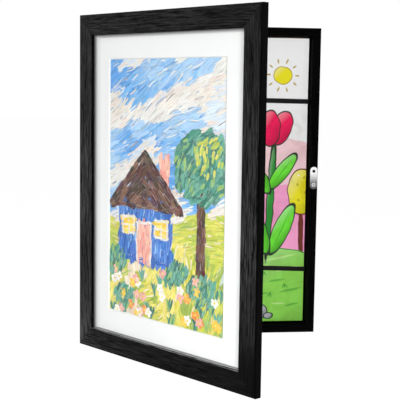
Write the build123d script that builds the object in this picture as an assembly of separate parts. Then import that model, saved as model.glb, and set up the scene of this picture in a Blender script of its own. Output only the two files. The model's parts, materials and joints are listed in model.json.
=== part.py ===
"""A front-opening childrens art frame: a hinged, glazed door on a wall box that stores drawings.

Every piece is modelled lying in a flat frame: X to the right, Y up and Z forward, out of the wall.
The wall is Z = 0, the middle of the box is X = Y = 0, and the door is modelled closed.
The finished pieces stand up with the wall behind them. Their origin is on the wall, at the middle
notch of the portrait hanger.
"""
from build123d import *
import math
import os

# Door moulding: four mitred rails with a rebate behind the lip
door_width = 291.0
door_height = 389.0
door_thickness = 10.0
moulding_width = 23.5
moulding_rebate = 5.0
lip_thickness = 3.8
outer_edge_radius = 2.2
lip_edge_radius = 0.8
back_edge_bevel = 0.6

# Layers in the door's rebate, from the front
glazing_thickness = 1.2
mat_thickness = 1.4
artwork_thickness = 0.25
backing_thickness = 2.4
layer_play = 0.5
mat_side_border = 27.0
mat_end_border = 26.5
artwork_side_overlap = 10.0
artwork_end_overlap = 4.0

# Flat steel points that hold the backing board
point_width = 6.0
point_bite = 5.5
point_tip = 2.5
point_reach = 8.0
point_thickness = 0.4
point_inset = 45.0
points_per_stile = 4
points_per_rail = 2

# Box on the wall: four mitred walls, with the back panel in a rebate
door_overhang = 9.0
box_depth = 30.0
wall_thickness = 10.0
rim_edge_radius = 0.5
panel_rebate = 4.5
panel_recess = 3.5
panel_thickness = 2.5
panel_play = 0.5

# Staples through the back panel
panel_staple_crown = 10.0
panel_staple_length = 11.0
panel_staple_inset = 35.0
panel_staples_per_stile = 3
panel_staples_per_rail = 2

# V-shaped nails across the mitres, driven from the back
nail_thickness = 0.5
door_nail_leg = 5.0
door_nail_depth = 5.5
door_nail_edge = 4.0
door_nail_pitch = 7.0
box_nail_leg = 3.0
box_nail_depth = 9.0
box_nail_edge = 1.5

# Drawings in the box
storage_depth = 11.5
sheet_play = 2.0
front_sheet_thickness = 0.3

# Elastic bands, whose ends fold back between the drawings and the walls
band_width = 6.0
band_thickness = 0.9
band_fold_radius = 1.6
band_tab = 9.0
upper_band_height = 100.5
lower_band_height = -104.0
upper_band_tilt = -0.9
lower_band_tilt = -1.9

# Staples through the ends of the bands
staple_wire = 0.5
band_staple_crown = 4.0
band_staple_length = 6.9

# Hinges: two leaves and a pin each, the box's leaf with the outer knuckles
leaf_thickness = 0.8
leaf_gap = 0.2
leaf_margin = 1.0
pin_offset = 2.3
pin_radius = 1.1
pin_play = 0.05
pin_head_radius = 1.6
pin_head_thickness = 0.7
knuckle_count = 3
knuckle_radius = 2.0
knuckle_gap = 0.3
knuckle_relief = 0.4
hinge_length = 25.0
hinge_inset = 62.0
hinge_screw_spacing = 15.0
hinge_screw_head_radius = 2.0
hinge_screw_radius = 1.2
hinge_screw_length = 7.5

# Catch: a steel plate on the box and a magnet in the door
strike_height = 5.6
strike_width = 9.0
strike_length = 27.0
strike_corner_radius = 4.2
strike_thickness = 1.0
strike_hole_spacing = 16.6
strike_hole_radius = 1.4
strike_screw_head_radius = 2.4
strike_screw_radius = 1.4
strike_screw_length = 12.0
catch_gap = 0.3
magnet_radius = 3.0
magnet_thickness = 2.0
cup_wall = 0.7

# Sawtooth hangers on the back panel
hanger_drop = 22.0
hanger_length = 46.0
hanger_height = 9.0
hanger_thickness = 0.8
hanger_tab = 8.0
hanger_rise = 1.2
hanger_teeth = 7
tooth_pitch = 3.4
tooth_depth = 2.0
prong_width = 4.0
prong_length = 1.8

# The turn by which the door stands open
door_open_angle = 54.0

# One overrun for every cut that has to pass a face
overrun = 1.0

# Places that follow from the sizes above
box_width = door_width - 2 * door_overhang
box_height = door_height - 2 * door_overhang
inner_width = box_width - 2 * wall_thickness
inner_height = box_height - 2 * wall_thickness
panel_back = panel_recess
panel_front = panel_back + panel_thickness
sheets_front = box_depth - storage_depth
closed_gap = 2 * leaf_thickness + leaf_gap
door_back = box_depth + closed_gap
door_front = door_back + door_thickness
rebate_edge = moulding_width - moulding_rebate
lip_back = door_front - lip_thickness
glazing_back = lip_back - glazing_thickness
mat_back = glazing_back - mat_thickness
artwork_back = mat_back - artwork_thickness
backing_back = artwork_back - backing_thickness
window_width = door_width - 2 * (moulding_width + mat_side_border)
window_height = door_height - 2 * (moulding_width + mat_end_border)
knuckle_pitch = (hinge_length + knuckle_gap) / knuckle_count
pin_x = -box_width / 2 - pin_offset
pin_z = box_depth + closed_gap / 2
rim_middle = box_width / 2 - wall_thickness / 2
hinge_heights = (box_height / 2 - hinge_inset, hinge_inset - box_height / 2)
notch_height = box_height / 2 - hanger_drop


def stand_up(shape):
    """Turn a piece from the flat frame to stand against the wall, below the hanger's notch."""
    return Pos(0, 0, -notch_height) * Rot(90, 0, 0) * shape


def swing(shape, angle):
    """Turn a piece of the closed door open about the hinge pins."""
    return Pos(pin_x, 0, pin_z) * Rot(0, -angle, 0) * Pos(-pin_x, 0, -pin_z) * shape


def save(node, shape, on_door=False):
    """Write one node's solid in the standing frame."""
    if on_door:
        shape = swing(shape, door_open_angle)
    export_step(stand_up(shape), f"parts/{node}.step")


def group(pieces):
    """Like pieces that share a node, as separate solids."""
    return Part() + list(pieces)


def slab(width, height, back, front):
    """A flat sheet about the middle of the frame, between two depths."""
    return Pos(0, 0, back) * extrude(Rectangle(width, height), amount=front - back)


def rod(radius, back, front):
    """A round bar along the depth, between two depths."""
    return Pos(0, 0, back) * extrude(Circle(radius), amount=front - back)


def corner_of(sketch, across, forward):
    """The corner of a section nearest to a point of it."""
    return sketch.vertices().sort_by_distance((across, forward, 0))[0]


def side_place(side, width, height):
    """Where one side of a frame goes, from its outer edge on X, facing +Y."""
    places = {
        "bottom": Pos(0, -height / 2, 0),
        "top": Pos(0, height / 2, 0) * Rot(0, 0, 180),
        "left": Pos(-width / 2, 0, 0) * Rot(0, 0, -90),
        "right": Pos(width / 2, 0, 0) * Rot(0, 0, 90),
    }
    return places[side]


def corner_places(width, height):
    """The four corners of a frame, each looking inward along +X and +Y."""
    return [
        Pos(-width / 2, -height / 2, 0),
        Pos(width / 2, -height / 2, 0) * Rot(0, 0, 90),
        Pos(width / 2, height / 2, 0) * Rot(0, 0, 180),
        Pos(-width / 2, height / 2, 0) * Rot(0, 0, -90),
    ]


def spread(count, length):
    """Even places along a length, from one end to the other."""
    return [length * (index / (count - 1) - 1 / 2) for index in range(count)]


def mitred_bar(section, length, width, depth):
    """A bar of one section with its outer edge on X, its ends mitred towards +Y."""
    bar = extrude(Plane.YZ * section, amount=length / 2, both=True)
    plan = Polygon(
        (-length / 2, 0),
        (length / 2, 0),
        (length / 2 - width, width),
        (width - length / 2, width),
        align=None,
    )
    return bar & extrude(plan, amount=depth)


def moulding_section():
    """The door moulding, across its width and forward: lip, rebate and rounded outer edge."""
    lip_step = door_thickness - lip_thickness
    outline = Polygon(
        (0, 0),
        (rebate_edge, 0),
        (rebate_edge, lip_step),
        (moulding_width, lip_step),
        (moulding_width, door_thickness),
        (0, door_thickness),
        align=None,
    )
    outline = fillet(corner_of(outline, 0, door_thickness), outer_edge_radius)
    outline = fillet(corner_of(outline, moulding_width, door_thickness), lip_edge_radius)
    return chamfer(corner_of(outline, 0, 0), back_edge_bevel)


def wall_section():
    """A box wall, across its thickness and forward, with the rebate for the back panel."""
    outline = Polygon(
        (0, 0),
        (wall_thickness - panel_rebate, 0),
        (wall_thickness - panel_rebate, panel_front),
        (wall_thickness, panel_front),
        (wall_thickness, box_depth),
        (0, box_depth),
        align=None,
    )
    outline = fillet(corner_of(outline, 0, box_depth), rim_edge_radius)
    return fillet(corner_of(outline, wall_thickness, box_depth), rim_edge_radius)


def door_side(side, length):
    """One rail or stile of the door, before anything is let into it."""
    bar = mitred_bar(moulding_section(), length, moulding_width, door_thickness)
    return Pos(0, 0, door_back) * side_place(side, door_width, door_height) * bar


def box_side(side, length):
    """One wall of the box, before anything is let into it."""
    bar = mitred_bar(wall_section(), length, wall_thickness, box_depth)
    return side_place(side, box_width, box_height) * bar


def v_nail(edge, leg, depth, back):
    """A nail bent to a right angle, its corner on the mitre and a leg in each side."""
    reach = edge + leg
    inside = edge + nail_thickness
    plan = Polygon(
        (edge, edge),
        (reach, edge),
        (reach, inside),
        (inside, inside),
        (inside, reach),
        (edge, reach),
        align=None,
    )
    return Pos(0, 0, back) * extrude(plan, amount=depth)


def door_v_nails():
    """Two nails across each mitre of the door."""
    edges = (door_nail_edge, door_nail_edge + door_nail_pitch)
    return group(
        place * v_nail(edge, door_nail_leg, door_nail_depth, door_back)
        for place in corner_places(door_width, door_height)
        for edge in edges
    )


def box_v_nails():
    """One nail across each mitre of the box."""
    return group(
        place * v_nail(box_nail_edge, box_nail_leg, box_nail_depth, 0)
        for place in corner_places(box_width, box_height)
    )


def along_sides(piece, width, height, per_stile, per_rail, inset):
    """Copies of a piece along the four sides of a frame, kept off its corners."""
    copies = []
    for side in ("bottom", "top"):
        for along in spread(per_rail, width - 2 * inset):
            copies.append(side_place(side, width, height) * Pos(along, 0, 0) * piece)
    for side in ("left", "right"):
        for along in spread(per_stile, height - 2 * inset):
            copies.append(side_place(side, width, height) * Pos(along, 0, 0) * piece)
    return group(copies)


def retaining_points():
    """Flat points pressed into the rebate's wall, lying on the backing board."""
    bite_end = rebate_edge - point_bite
    plan = Polygon(
        (0, bite_end),
        (point_width / 2, bite_end + point_tip),
        (point_width / 2, rebate_edge + point_reach),
        (-point_width / 2, rebate_edge + point_reach),
        (-point_width / 2, bite_end + point_tip),
        align=None,
    )
    point = Pos(0, 0, backing_back - point_thickness) * extrude(plan, amount=point_thickness)
    return along_sides(
        point, door_width, door_height, points_per_stile, points_per_rail, point_inset
    )


def staple(crown, length):
    """A wire staple driven along +Z, its crown on the face at Z = 0 and along X."""
    leg = Pos(0, 0, length / 2) * Box(staple_wire, staple_wire, length)
    leg_place = (crown - staple_wire) / 2
    bridge = Pos(0, 0, -staple_wire / 2) * Box(crown, staple_wire, staple_wire)
    return bridge + [Pos(leg_place, 0, 0) * leg, Pos(-leg_place, 0, 0) * leg]


def back_panel_staples():
    """Staples through the edge of the back panel into the walls."""
    inset = wall_thickness - panel_rebate / 2
    piece = Pos(0, inset, panel_back) * staple(panel_staple_crown, panel_staple_length)
    return along_sides(
        piece,
        box_width,
        box_height,
        panel_staples_per_stile,
        panel_staples_per_rail,
        panel_staple_inset,
    )


def countersunk_screw(head_radius, shank_radius, length):
    """A screw along -Z with its flat head flush at Z = 0."""
    head_depth = head_radius - shank_radius
    profile = Polygon(
        (0, 0),
        (head_radius, 0),
        (shank_radius, -head_depth),
        (shank_radius, -length),
        (0, -length),
        align=None,
    )
    return revolve(Plane.XZ * profile, Axis.Z)


def knuckle_place(index):
    """The middle of one knuckle on the pin's axis, looking along it."""
    middle = (index - (knuckle_count - 1) / 2) * knuckle_pitch
    return Pos(pin_x, middle, pin_z) * Rot(90, 0, 0)


def leaf_plate(back):
    """A leaf's flat plate, from the pin's axis to short of the rim's inner edge."""
    reach = pin_offset + wall_thickness - leaf_margin
    plate = Rectangle(reach, hinge_length, align=(Align.MIN, Align.CENTER))
    return Pos(pin_x, 0, back) * extrude(plate, amount=leaf_thickness)


def hinge_leaf(back, first_knuckle, screws):
    """A leaf rolled round the pin at every second knuckle and notched clear of the others."""
    notch = 2 * (knuckle_radius + knuckle_gap)
    leaf = leaf_plate(back)
    own_knuckles = range(first_knuckle, knuckle_count, 2)
    for index in range(knuckle_count):
        if index in own_knuckles:
            leaf += knuckle_place(index) * Cylinder(knuckle_radius, knuckle_pitch - knuckle_gap)
        else:
            leaf -= knuckle_place(index) * Box(notch, notch, knuckle_pitch + knuckle_gap)
    bore = Cylinder(pin_radius + pin_play, hinge_length + 2 * overrun)
    leaf -= Pos(pin_x, 0, pin_z) * Rot(90, 0, 0) * bore
    return leaf - screws


def hinge_screws(face, into_door):
    """The two screws of one leaf, heads flush with the leaf's face."""
    screw = countersunk_screw(hinge_screw_head_radius, hinge_screw_radius, hinge_screw_length)
    if into_door:
        screw = Rot(180, 0, 0) * screw
    return group(
        Pos(-rim_middle, along, face) * screw
        for along in (-hinge_screw_spacing / 2, hinge_screw_spacing / 2)
    )


def hinge_pin():
    """A pin through the knuckles with a head above them."""
    shank = Cylinder(pin_radius, hinge_length)
    head_middle = (hinge_length + pin_head_thickness) / 2
    head = Pos(0, 0, head_middle) * Cylinder(pin_head_radius, pin_head_thickness)
    return Pos(pin_x, 0, pin_z) * Rot(-90, 0, 0) * (shank + head)


def at_hinges(piece):
    """A copy of a piece at each hinge."""
    return group(Pos(0, height, 0) * piece for height in hinge_heights)


def strike_screw():
    """The one screw of the strike plate, in its lower hole."""
    screw = countersunk_screw(strike_screw_head_radius, strike_screw_radius, strike_screw_length)
    height = strike_height - strike_hole_spacing / 2
    return Pos(rim_middle, height, box_depth + strike_thickness) * screw


def strike_plate(screw):
    """The round-ended steel plate on the right rim, with a screw hole and an open hole."""
    plan = RectangleRounded(strike_width, strike_length, strike_corner_radius)
    plan -= Pos(0, strike_hole_spacing / 2) * Circle(strike_hole_radius)
    plate = Pos(rim_middle, strike_height, box_depth) * extrude(plan, amount=strike_thickness)
    return plate - screw


def catch_magnet():
    """The magnet, its face a small gap short of the plate when the door is closed."""
    face = box_depth + strike_thickness + catch_gap
    return Pos(rim_middle, strike_height, 0) * rod(magnet_radius, face, face + magnet_thickness)


def catch_magnet_cup(magnet):
    """The steel cup that holds the magnet in the door."""
    face = box_depth + strike_thickness + catch_gap
    outside = rod(magnet_radius + cup_wall, face, face + magnet_thickness + cup_wall)
    return Pos(rim_middle, strike_height, 0) * outside - magnet


def elastic_band(height, tilt, staples):
    """A flat band across the drawings, folded back along both walls and slightly out of level."""
    front = sheets_front + band_thickness
    outside = Pos(0, front - band_tab) * Rectangle(
        inner_width, band_tab, align=(Align.CENTER, Align.MIN)
    )
    inside = Pos(0, sheets_front - band_tab - overrun) * Rectangle(
        inner_width - 2 * band_thickness, band_tab + overrun, align=(Align.CENTER, Align.MIN)
    )
    outside = fillet(outside.vertices().group_by(Axis.Y)[-1], band_fold_radius)
    inside = fillet(inside.vertices().group_by(Axis.Y)[-1], band_fold_radius - band_thickness)
    across = Plane.XZ * (outside - inside)
    strip = extrude(across, amount=inner_width / 2, both=True)
    level = Rot(0, 0, tilt) * Box(2 * inner_width, band_width, 2 * box_depth)
    return Pos(0, height, 0) * (strip & level) - staples


def band_staples(height, tilt):
    """A staple through each folded end of a band, its crown along the wall's depth."""
    band_face = inner_width / 2 - band_thickness
    middle = sheets_front + band_thickness - band_tab / 2
    piece = staple(band_staple_crown, band_staple_length)
    right = Pos(band_face, 0, middle) * Rot(0, 90, 0) * piece
    rise = math.tan(math.radians(tilt)) * inner_width / 2
    return group(
        [
            Pos(0, height + rise, 0) * right,
            Pos(0, height - rise, 0) * mirror(right, about=Plane.YZ),
        ]
    )


def sawtooth_hanger():
    """A bent steel strip with a prong at each end, its middle notch at X = Y = 0."""
    half = hanger_length / 2
    foot = half - hanger_tab
    seat = panel_back
    raised = seat - hanger_rise
    section = Polygon(
        (-half, seat),
        (-foot, seat),
        (hanger_rise - foot, raised),
        (foot - hanger_rise, raised),
        (foot, seat),
        (half, seat),
        (half, seat - hanger_thickness),
        (foot, seat - hanger_thickness),
        (foot - hanger_rise, raised - hanger_thickness),
        (hanger_rise - foot, raised - hanger_thickness),
        (-foot, seat - hanger_thickness),
        (-half, seat - hanger_thickness),
        align=None,
    )
    strip = extrude(Plane.XZ * section, amount=hanger_height, dir=(0, 1, 0))
    strip = Pos(0, -tooth_depth, 0) * strip
    for index in range(hanger_teeth):
        along = (index - (hanger_teeth - 1) / 2) * tooth_pitch
        notch = Polygon(
            (along, 0),
            (along - tooth_depth, -tooth_depth - overrun),
            (along + tooth_depth, -tooth_depth - overrun),
            align=None,
        )
        strip -= extrude(notch, amount=panel_back)
    point = Polygon(
        (-prong_width / 2, seat),
        (prong_width / 2, seat),
        (0, seat + prong_length),
        align=None,
    )
    prong = extrude(Plane.YZ * point, amount=hanger_thickness / 2, both=True)
    prong = Pos(0, hanger_height / 2 - tooth_depth, 0) * prong
    prong_place = half - hanger_thickness / 2
    return strip + [Pos(prong_place, 0, 0) * prong, Pos(-prong_place, 0, 0) * prong]


def knuckle_reliefs():
    """Round grooves in the door's back that clear the knuckles and the pins' heads."""
    length = hinge_length + 2 * (pin_head_thickness + knuckle_gap)
    groove = Cylinder(knuckle_radius + knuckle_relief, length)
    return at_hinges(Pos(pin_x, 0, pin_z) * Rot(90, 0, 0) * groove)


def mat_board():
    """A white board whose window is cut with a 45 degree bevel, widest at the front."""
    width, height = rebate_size()
    board = slab(width, height, mat_back, glazing_back)
    window = extrude(Rectangle(window_width, window_height), amount=-mat_thickness, taper=45)
    return board - Pos(0, 0, glazing_back) * window


def rebate_size():
    """The size of a layer that fills the door's rebate."""
    width = door_width - 2 * (rebate_edge + layer_play)
    height = door_height - 2 * (rebate_edge + layer_play)
    return width, height


def save_door():
    """The door's moulding and everything that turns with it."""
    nails = door_v_nails()
    points = retaining_points()
    leaf_back = door_back - leaf_thickness
    screws = hinge_screws(leaf_back, into_door=True)
    leaf = hinge_leaf(leaf_back, 1, screws)
    magnet = catch_magnet()
    cup = catch_magnet_cup(magnet)
    let_in = [nails, points, at_hinges(screws), knuckle_reliefs(), cup, magnet]
    save("door_top_rail", door_side("top", door_width) - let_in, on_door=True)
    save("door_bottom_rail", door_side("bottom", door_width) - let_in, on_door=True)
    save("door_hinge_stile", door_side("left", door_height) - let_in, on_door=True)
    save("door_latch_stile", door_side("right", door_height) - let_in, on_door=True)
    save("door_v_nails", nails, on_door=True)
    save("retaining_points", points, on_door=True)
    save("upper_hinge_door_leaf", Pos(0, hinge_heights[0], 0) * leaf, on_door=True)
    save("lower_hinge_door_leaf", Pos(0, hinge_heights[1], 0) * leaf, on_door=True)
    save("hinge_door_screws", at_hinges(screws), on_door=True)
    save("catch_magnet", magnet, on_door=True)
    save("catch_magnet_cup", cup, on_door=True)

    width, height = rebate_size()
    picture_width = window_width + 2 * artwork_side_overlap
    picture_height = window_height + 2 * artwork_end_overlap
    picture = slab(picture_width, picture_height, artwork_back, mat_back)
    save("glazing", slab(width, height, glazing_back, lip_back), on_door=True)
    save("mat_board", mat_board(), on_door=True)
    save("display_artwork", picture, on_door=True)
    save("backing_board", slab(width, height, backing_back, artwork_back), on_door=True)


def save_box():
    """The wall box, its hangers, and what it holds."""
    nails = box_v_nails()
    panel_staples = back_panel_staples()
    upper_staples = band_staples(upper_band_height, upper_band_tilt)
    lower_staples = band_staples(lower_band_height, lower_band_tilt)
    band_ends = group([upper_staples, lower_staples])
    screws = hinge_screws(box_depth + leaf_thickness, into_door=False)
    leaf = hinge_leaf(box_depth, 0, screws)
    plate_screw = strike_screw()
    let_in = [nails, panel_staples, band_ends, at_hinges(screws), plate_screw]
    save("box_top_wall", box_side("top", box_width) - let_in)
    save("box_bottom_wall", box_side("bottom", box_width) - let_in)
    save("box_left_wall", box_side("left", box_height) - let_in)
    save("box_right_wall", box_side("right", box_height) - let_in)
    save("box_v_nails", nails)
    save("back_panel_staples", panel_staples)
    save("upper_hinge_box_leaf", Pos(0, hinge_heights[0], 0) * leaf)
    save("lower_hinge_box_leaf", Pos(0, hinge_heights[1], 0) * leaf)
    save("hinge_box_screws", at_hinges(screws))
    save("hinge_pins", at_hinges(hinge_pin()))
    save("strike_screw", plate_screw)
    save("strike_plate", strike_plate(plate_screw))
    upper_band = elastic_band(upper_band_height, upper_band_tilt, upper_staples)
    lower_band = elastic_band(lower_band_height, lower_band_tilt, lower_staples)
    save("upper_elastic_band", upper_band)
    save("lower_elastic_band", lower_band)
    save("band_staples", band_ends)

    sheet_width = inner_width - 2 * sheet_play
    sheet_height = inner_height - 2 * sheet_play
    stack_front = sheets_front - front_sheet_thickness
    save("stored_sheets", slab(sheet_width, sheet_height, panel_front, stack_front))
    save("stored_front_sheet", slab(sheet_width, sheet_height, stack_front, sheets_front))

    portrait = Pos(0, notch_height, 0) * sawtooth_hanger()
    landscape = Pos(hanger_drop - box_width / 2, 0, 0) * Rot(0, 0, 90) * sawtooth_hanger()
    save("portrait_hanger", portrait)
    save("landscape_hanger", landscape)
    panel_edge = panel_rebate - panel_play
    panel_width = inner_width + 2 * panel_edge
    panel_height = inner_height + 2 * panel_edge
    panel = slab(panel_width, panel_height, panel_back, panel_front)
    save("back_panel", panel - [panel_staples, portrait, landscape])


os.makedirs("parts", exist_ok=True)
save_door()
save_box()
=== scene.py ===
"""A childrens art frame: a glazed picture door hinged to a wall box that stores drawings."""

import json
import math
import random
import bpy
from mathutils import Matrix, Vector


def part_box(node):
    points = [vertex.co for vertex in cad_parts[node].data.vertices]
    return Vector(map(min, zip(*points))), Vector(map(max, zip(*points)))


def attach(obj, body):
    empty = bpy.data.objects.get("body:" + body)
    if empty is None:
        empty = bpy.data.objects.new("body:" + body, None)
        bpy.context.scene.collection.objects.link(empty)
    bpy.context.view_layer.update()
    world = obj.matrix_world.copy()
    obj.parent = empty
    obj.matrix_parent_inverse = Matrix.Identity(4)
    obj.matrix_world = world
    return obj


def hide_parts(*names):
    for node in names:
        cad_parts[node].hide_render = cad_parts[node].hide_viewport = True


bl_info = {
    "name": "Childrens Art Frame",
    "version": (1, 0, 0),
    "blender": (4, 5, 0),
    "location": "3D View > Sidebar > Art Frame",
    "description": "Finishes a hinged art frame in black wood, paper, paint, steel and elastic",
    "category": "Add Mesh",
}

import bmesh
import bpy
from bpy.props import FloatProperty, FloatVectorProperty, IntProperty, PointerProperty
from mathutils import Euler, Matrix, Vector, noise

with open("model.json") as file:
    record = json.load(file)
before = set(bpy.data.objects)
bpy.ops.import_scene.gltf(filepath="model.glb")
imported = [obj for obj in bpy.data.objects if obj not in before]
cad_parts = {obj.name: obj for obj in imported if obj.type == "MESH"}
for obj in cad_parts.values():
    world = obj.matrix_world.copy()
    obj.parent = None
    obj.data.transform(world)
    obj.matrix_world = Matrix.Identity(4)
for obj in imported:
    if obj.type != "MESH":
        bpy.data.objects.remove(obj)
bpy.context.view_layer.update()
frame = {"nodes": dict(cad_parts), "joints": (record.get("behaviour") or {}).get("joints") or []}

MM = 0.001
HINGE = frame["joints"][0]
OPEN_ANGLE = -math.radians(HINGE["range_deg"][0])
PIN = Vector(HINGE["pos_m"]) * Vector((1, 1, 0))
OPEN = Matrix.Translation(PIN) @ Matrix.Rotation(-OPEN_ANGLE, 4, "Z") @ Matrix.Translation(-PIN)
SHUT = OPEN.inverted()


def colour_property(name, description, default):
    """A colour that a user can change."""
    return FloatVectorProperty(
        name=name, description=description, subtype="COLOR", size=3, min=0, max=1, default=default
    )


def length_property(name, description, default):
    """A length in metres that a user can change."""
    return FloatProperty(name=name, description=description, unit="LENGTH", default=default)


def angle_property(name, description, degrees):
    """An angle that a user can change."""
    return FloatProperty(
        name=name, description=description, subtype="ANGLE", default=math.radians(degrees)
    )


class WoodSettings(bpy.types.PropertyGroup):
    """The black wood of the door and the box."""

    moulding_dark: colour_property(
        "Moulding pores", "Pores of the moulding", (0.0008, 0.0008, 0.0008)
    )
    moulding_light: colour_property("Moulding ridges", "Lightest raised grain", (0.1, 0.1, 0.1))
    box_dark: colour_property("Box pores", "Pores of the box walls", (0.0005, 0.0005, 0.0006))
    box_light: colour_property("Box ridges", "Lightest grain of the box", (0.016, 0.016, 0.017))
    streak_width: length_property("Streak width", "Width of a grain streak", 0.0014)
    streak_length: length_property("Streak length", "Length of a grain streak", 0.03)
    grain_depth: length_property("Grain depth", "Height of the raised grain", 0.00035)
    # The bottom rail's inner edge is painted pale: a painted sheen standing in for the mat mirrored
    # in the lip's upper face
    lip_sheen_colour: colour_property(
        "Lip sheen", "Inner edge of the bottom rail", (0.38, 0.38, 0.38)
    )
    lip_sheen_width: length_property("Lip sheen width", "Width of the painted sheen", 0.0003)


class PaperSettings(bpy.types.PropertyGroup):
    """Mat, backing board and drawing paper."""

    mat_colour: colour_property("Mat", "Face of the mat board", (0.88, 0.88, 0.88))
    paper_colour: colour_property("Paper", "Drawing paper", (0.83, 0.82, 0.79))
    backing_colour: colour_property("Backing", "Grey backing board", (0.30, 0.28, 0.25))
    hardboard_colour: colour_property("Hardboard", "Back panel", (0.22, 0.125, 0.062))
    pane_gap: length_property("Pane gap", "Air between the pane and the mat", 0.00008)
    sheet_thickness: length_property("Sheet", "Thickness of one stored sheet", 0.00036)
    sheet_shift: length_property("Sheet shift", "How far sheets lie out of line", 0.0011)
    sheet_bulge: length_property("Bulge", "Rise of the front sheet between the bands", 0.0006)


class PaintSettings(bpy.types.PropertyGroup):
    """The thick paint of the displayed picture."""

    seed: IntProperty(name="Seed", description="Seed of the brush strokes", default=11)
    side_margin: length_property("Side margin", "Paint kept clear of the sheet's sides", 0.0115)
    end_margin: length_property("End margin", "Paint kept clear of the sheet's ends", 0.0055)
    paint_height: length_property("Paint height", "Height of one stroke", 0.00022)
    layer_step: length_property("Layer step", "Rise from one coat to the next", 0.0001)


class BandSettings(bpy.types.PropertyGroup):
    """The elastic bands across the drawings."""

    width: length_property("Width", "Width of a band", 0.0053)
    thickness: length_property("Thickness", "Thickness of a band", 0.0009)
    fold_radius: length_property("Fold radius", "Outer radius of the fold at a wall", 0.0016)
    upper_tilt: angle_property("Upper tilt", "Tilt of the upper band", -0.9)
    lower_tilt: angle_property("Lower tilt", "Tilt of the lower band", -1.9)
    upper_drop: length_property("Upper drop", "How far the upper band has slipped down", 0.0005)
    colour: colour_property("Colour", "Elastic yarn", (0.003, 0.003, 0.0032))


class MetalSettings(bpy.types.PropertyGroup):
    """Hinges, catch, hangers and fasteners."""

    plate_colour: colour_property("Strike plate", "Polished steel", (0.93, 0.93, 0.93))
    # Dull steel as painted shade: it darkens the strike plate lower down and fills the strike
    # screw's recess
    dull_shade_colour: colour_property("Plate shade", "Steel dulled as painted shade", (0.24, 0.24, 0.245))
    hinge_colour: colour_property("Hinges", "Nickel plate", (0.60, 0.60, 0.59))
    zinc_colour: colour_property("Zinc", "Zinc plate", (0.52, 0.53, 0.54))
    # Blackened steel of the retaining points; it also paints shade in the hinge screws' recesses
    dark_colour: colour_property("Points", "Blackened steel", (0.05, 0.05, 0.052))
    recess_width_share: FloatProperty(
        name="Slot share", description="Slot width as a share of the head's radius", default=0.17
    )


class StudioSettings(bpy.types.PropertyGroup):
    """Camera, lamps and floor."""

    lens: FloatProperty(name="Lens", description="Focal length in mm", default=90.8)
    camera_place: FloatVectorProperty(
        name="Camera", description="Place of the camera", subtype="XYZ", unit="LENGTH",
        default=(-0.15840, -1.22584, -0.05329),
    )
    camera_pitch: angle_property("Pitch", "Camera's tilt from level", -6.2263)
    camera_yaw: angle_property("Yaw", "Camera's turn from straight ahead", -7.2010)
    camera_roll: angle_property("Roll", "Camera's roll", 0.7624)
    floor_drop: length_property("Floor drop", "Floor below the wall hanger", 0.95)
    floor_colour: colour_property("Floor", "Pale floor", (0.87, 0.87, 0.87))
    sky_strength: FloatProperty(name="Sky", description="Light from all round", default=0.18)


class ArtFrameSettings(bpy.types.PropertyGroup):
    """All settings of the art frame."""

    wood: PointerProperty(type=WoodSettings)
    paper: PointerProperty(type=PaperSettings)
    paint: PointerProperty(type=PaintSettings)
    band: PointerProperty(type=BandSettings)
    metal: PointerProperty(type=MetalSettings)
    studio: PointerProperty(type=StudioSettings)


# Node trees


def add_node(tree, kind, values=None, **options):
    """Add a shader node, set its options, and set or link its inputs."""
    node = tree.nodes.new("ShaderNode" + kind)
    for option, value in options.items():
        setattr(node, option, value)
    for name, value in (values or {}).items():
        if isinstance(value, bpy.types.NodeSocket):
            tree.links.new(value, node.inputs[name])
        else:
            node.inputs[name].default_value = value
    return node


def calculate(tree, operation, *values, clamp=False):
    """The result of a Math node."""
    inputs = dict(enumerate(values))
    return add_node(tree, "Math", inputs, operation=operation, use_clamp=clamp).outputs[0]


def vector_math(tree, operation, *values):
    """The vector result of a Vector Math node."""
    return add_node(tree, "VectorMath", dict(enumerate(values)), operation=operation).outputs[0]


def opaque(colour):
    """A colour with full alpha."""
    return (*colour, 1.0)


def scaled(values, factor):
    """Each of some values times a factor."""
    return [factor * value for value in values]


# The sockets that a Mix node uses for colours
MIX_SHARE, MIX_FIRST, MIX_SECOND, MIX_RESULT = 0, 6, 7, 2


def blend_colours(tree, share, first, second, **options):
    """The mix of two colours, by the second one's share."""
    inputs = {MIX_SHARE: share, MIX_FIRST: first, MIX_SECOND: second}
    return add_node(tree, "Mix", inputs, data_type="RGBA", **options).outputs[MIX_RESULT]


def multiply_colours(tree, first, second):
    """The product of two colours."""
    return blend_colours(tree, 1.0, first, second, blend_type="MULTIPLY")


def mix_values(tree, share, first, second):
    """The mix of two values, by the second one's share."""
    rest = calculate(tree, "MULTIPLY", first, 1 - share)
    return calculate(tree, "MULTIPLY_ADD", second, share, rest)


def spread_range(tree, value, low, high, to_low=0.0, to_high=1.0):
    """A value mapped from one range to another and kept inside it."""
    inputs = {0: value, 1: low, 2: high, 3: to_low, 4: to_high}
    return add_node(tree, "MapRange", inputs).outputs[0]


def speckle(tree, place, scale, detail=2.0, roughness=0.5, distortion=0.0):
    """A noise value; scale is per metre, one number or one for each axis."""
    if isinstance(scale, float):
        scale = (scale, scale, scale)
    stretched = add_node(tree, "Mapping", {"Vector": place, "Scale": scale}).outputs[0]
    inputs = {
        "Vector": stretched,
        "Scale": 1.0,
        "Detail": detail,
        "Roughness": roughness,
        "Distortion": distortion,
    }
    return add_node(tree, "TexNoise", inputs).outputs[0]


def shut_normal(tree, on_door):
    """The surface's normal, with the door turned shut for its own pieces."""
    normal = add_node(tree, "TexCoord").outputs["Normal"]
    if not on_door:
        return normal
    inputs = {"Vector": normal, "Rotation": SHUT.to_euler()}
    return add_node(tree, "Mapping", inputs).outputs[0]


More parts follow.
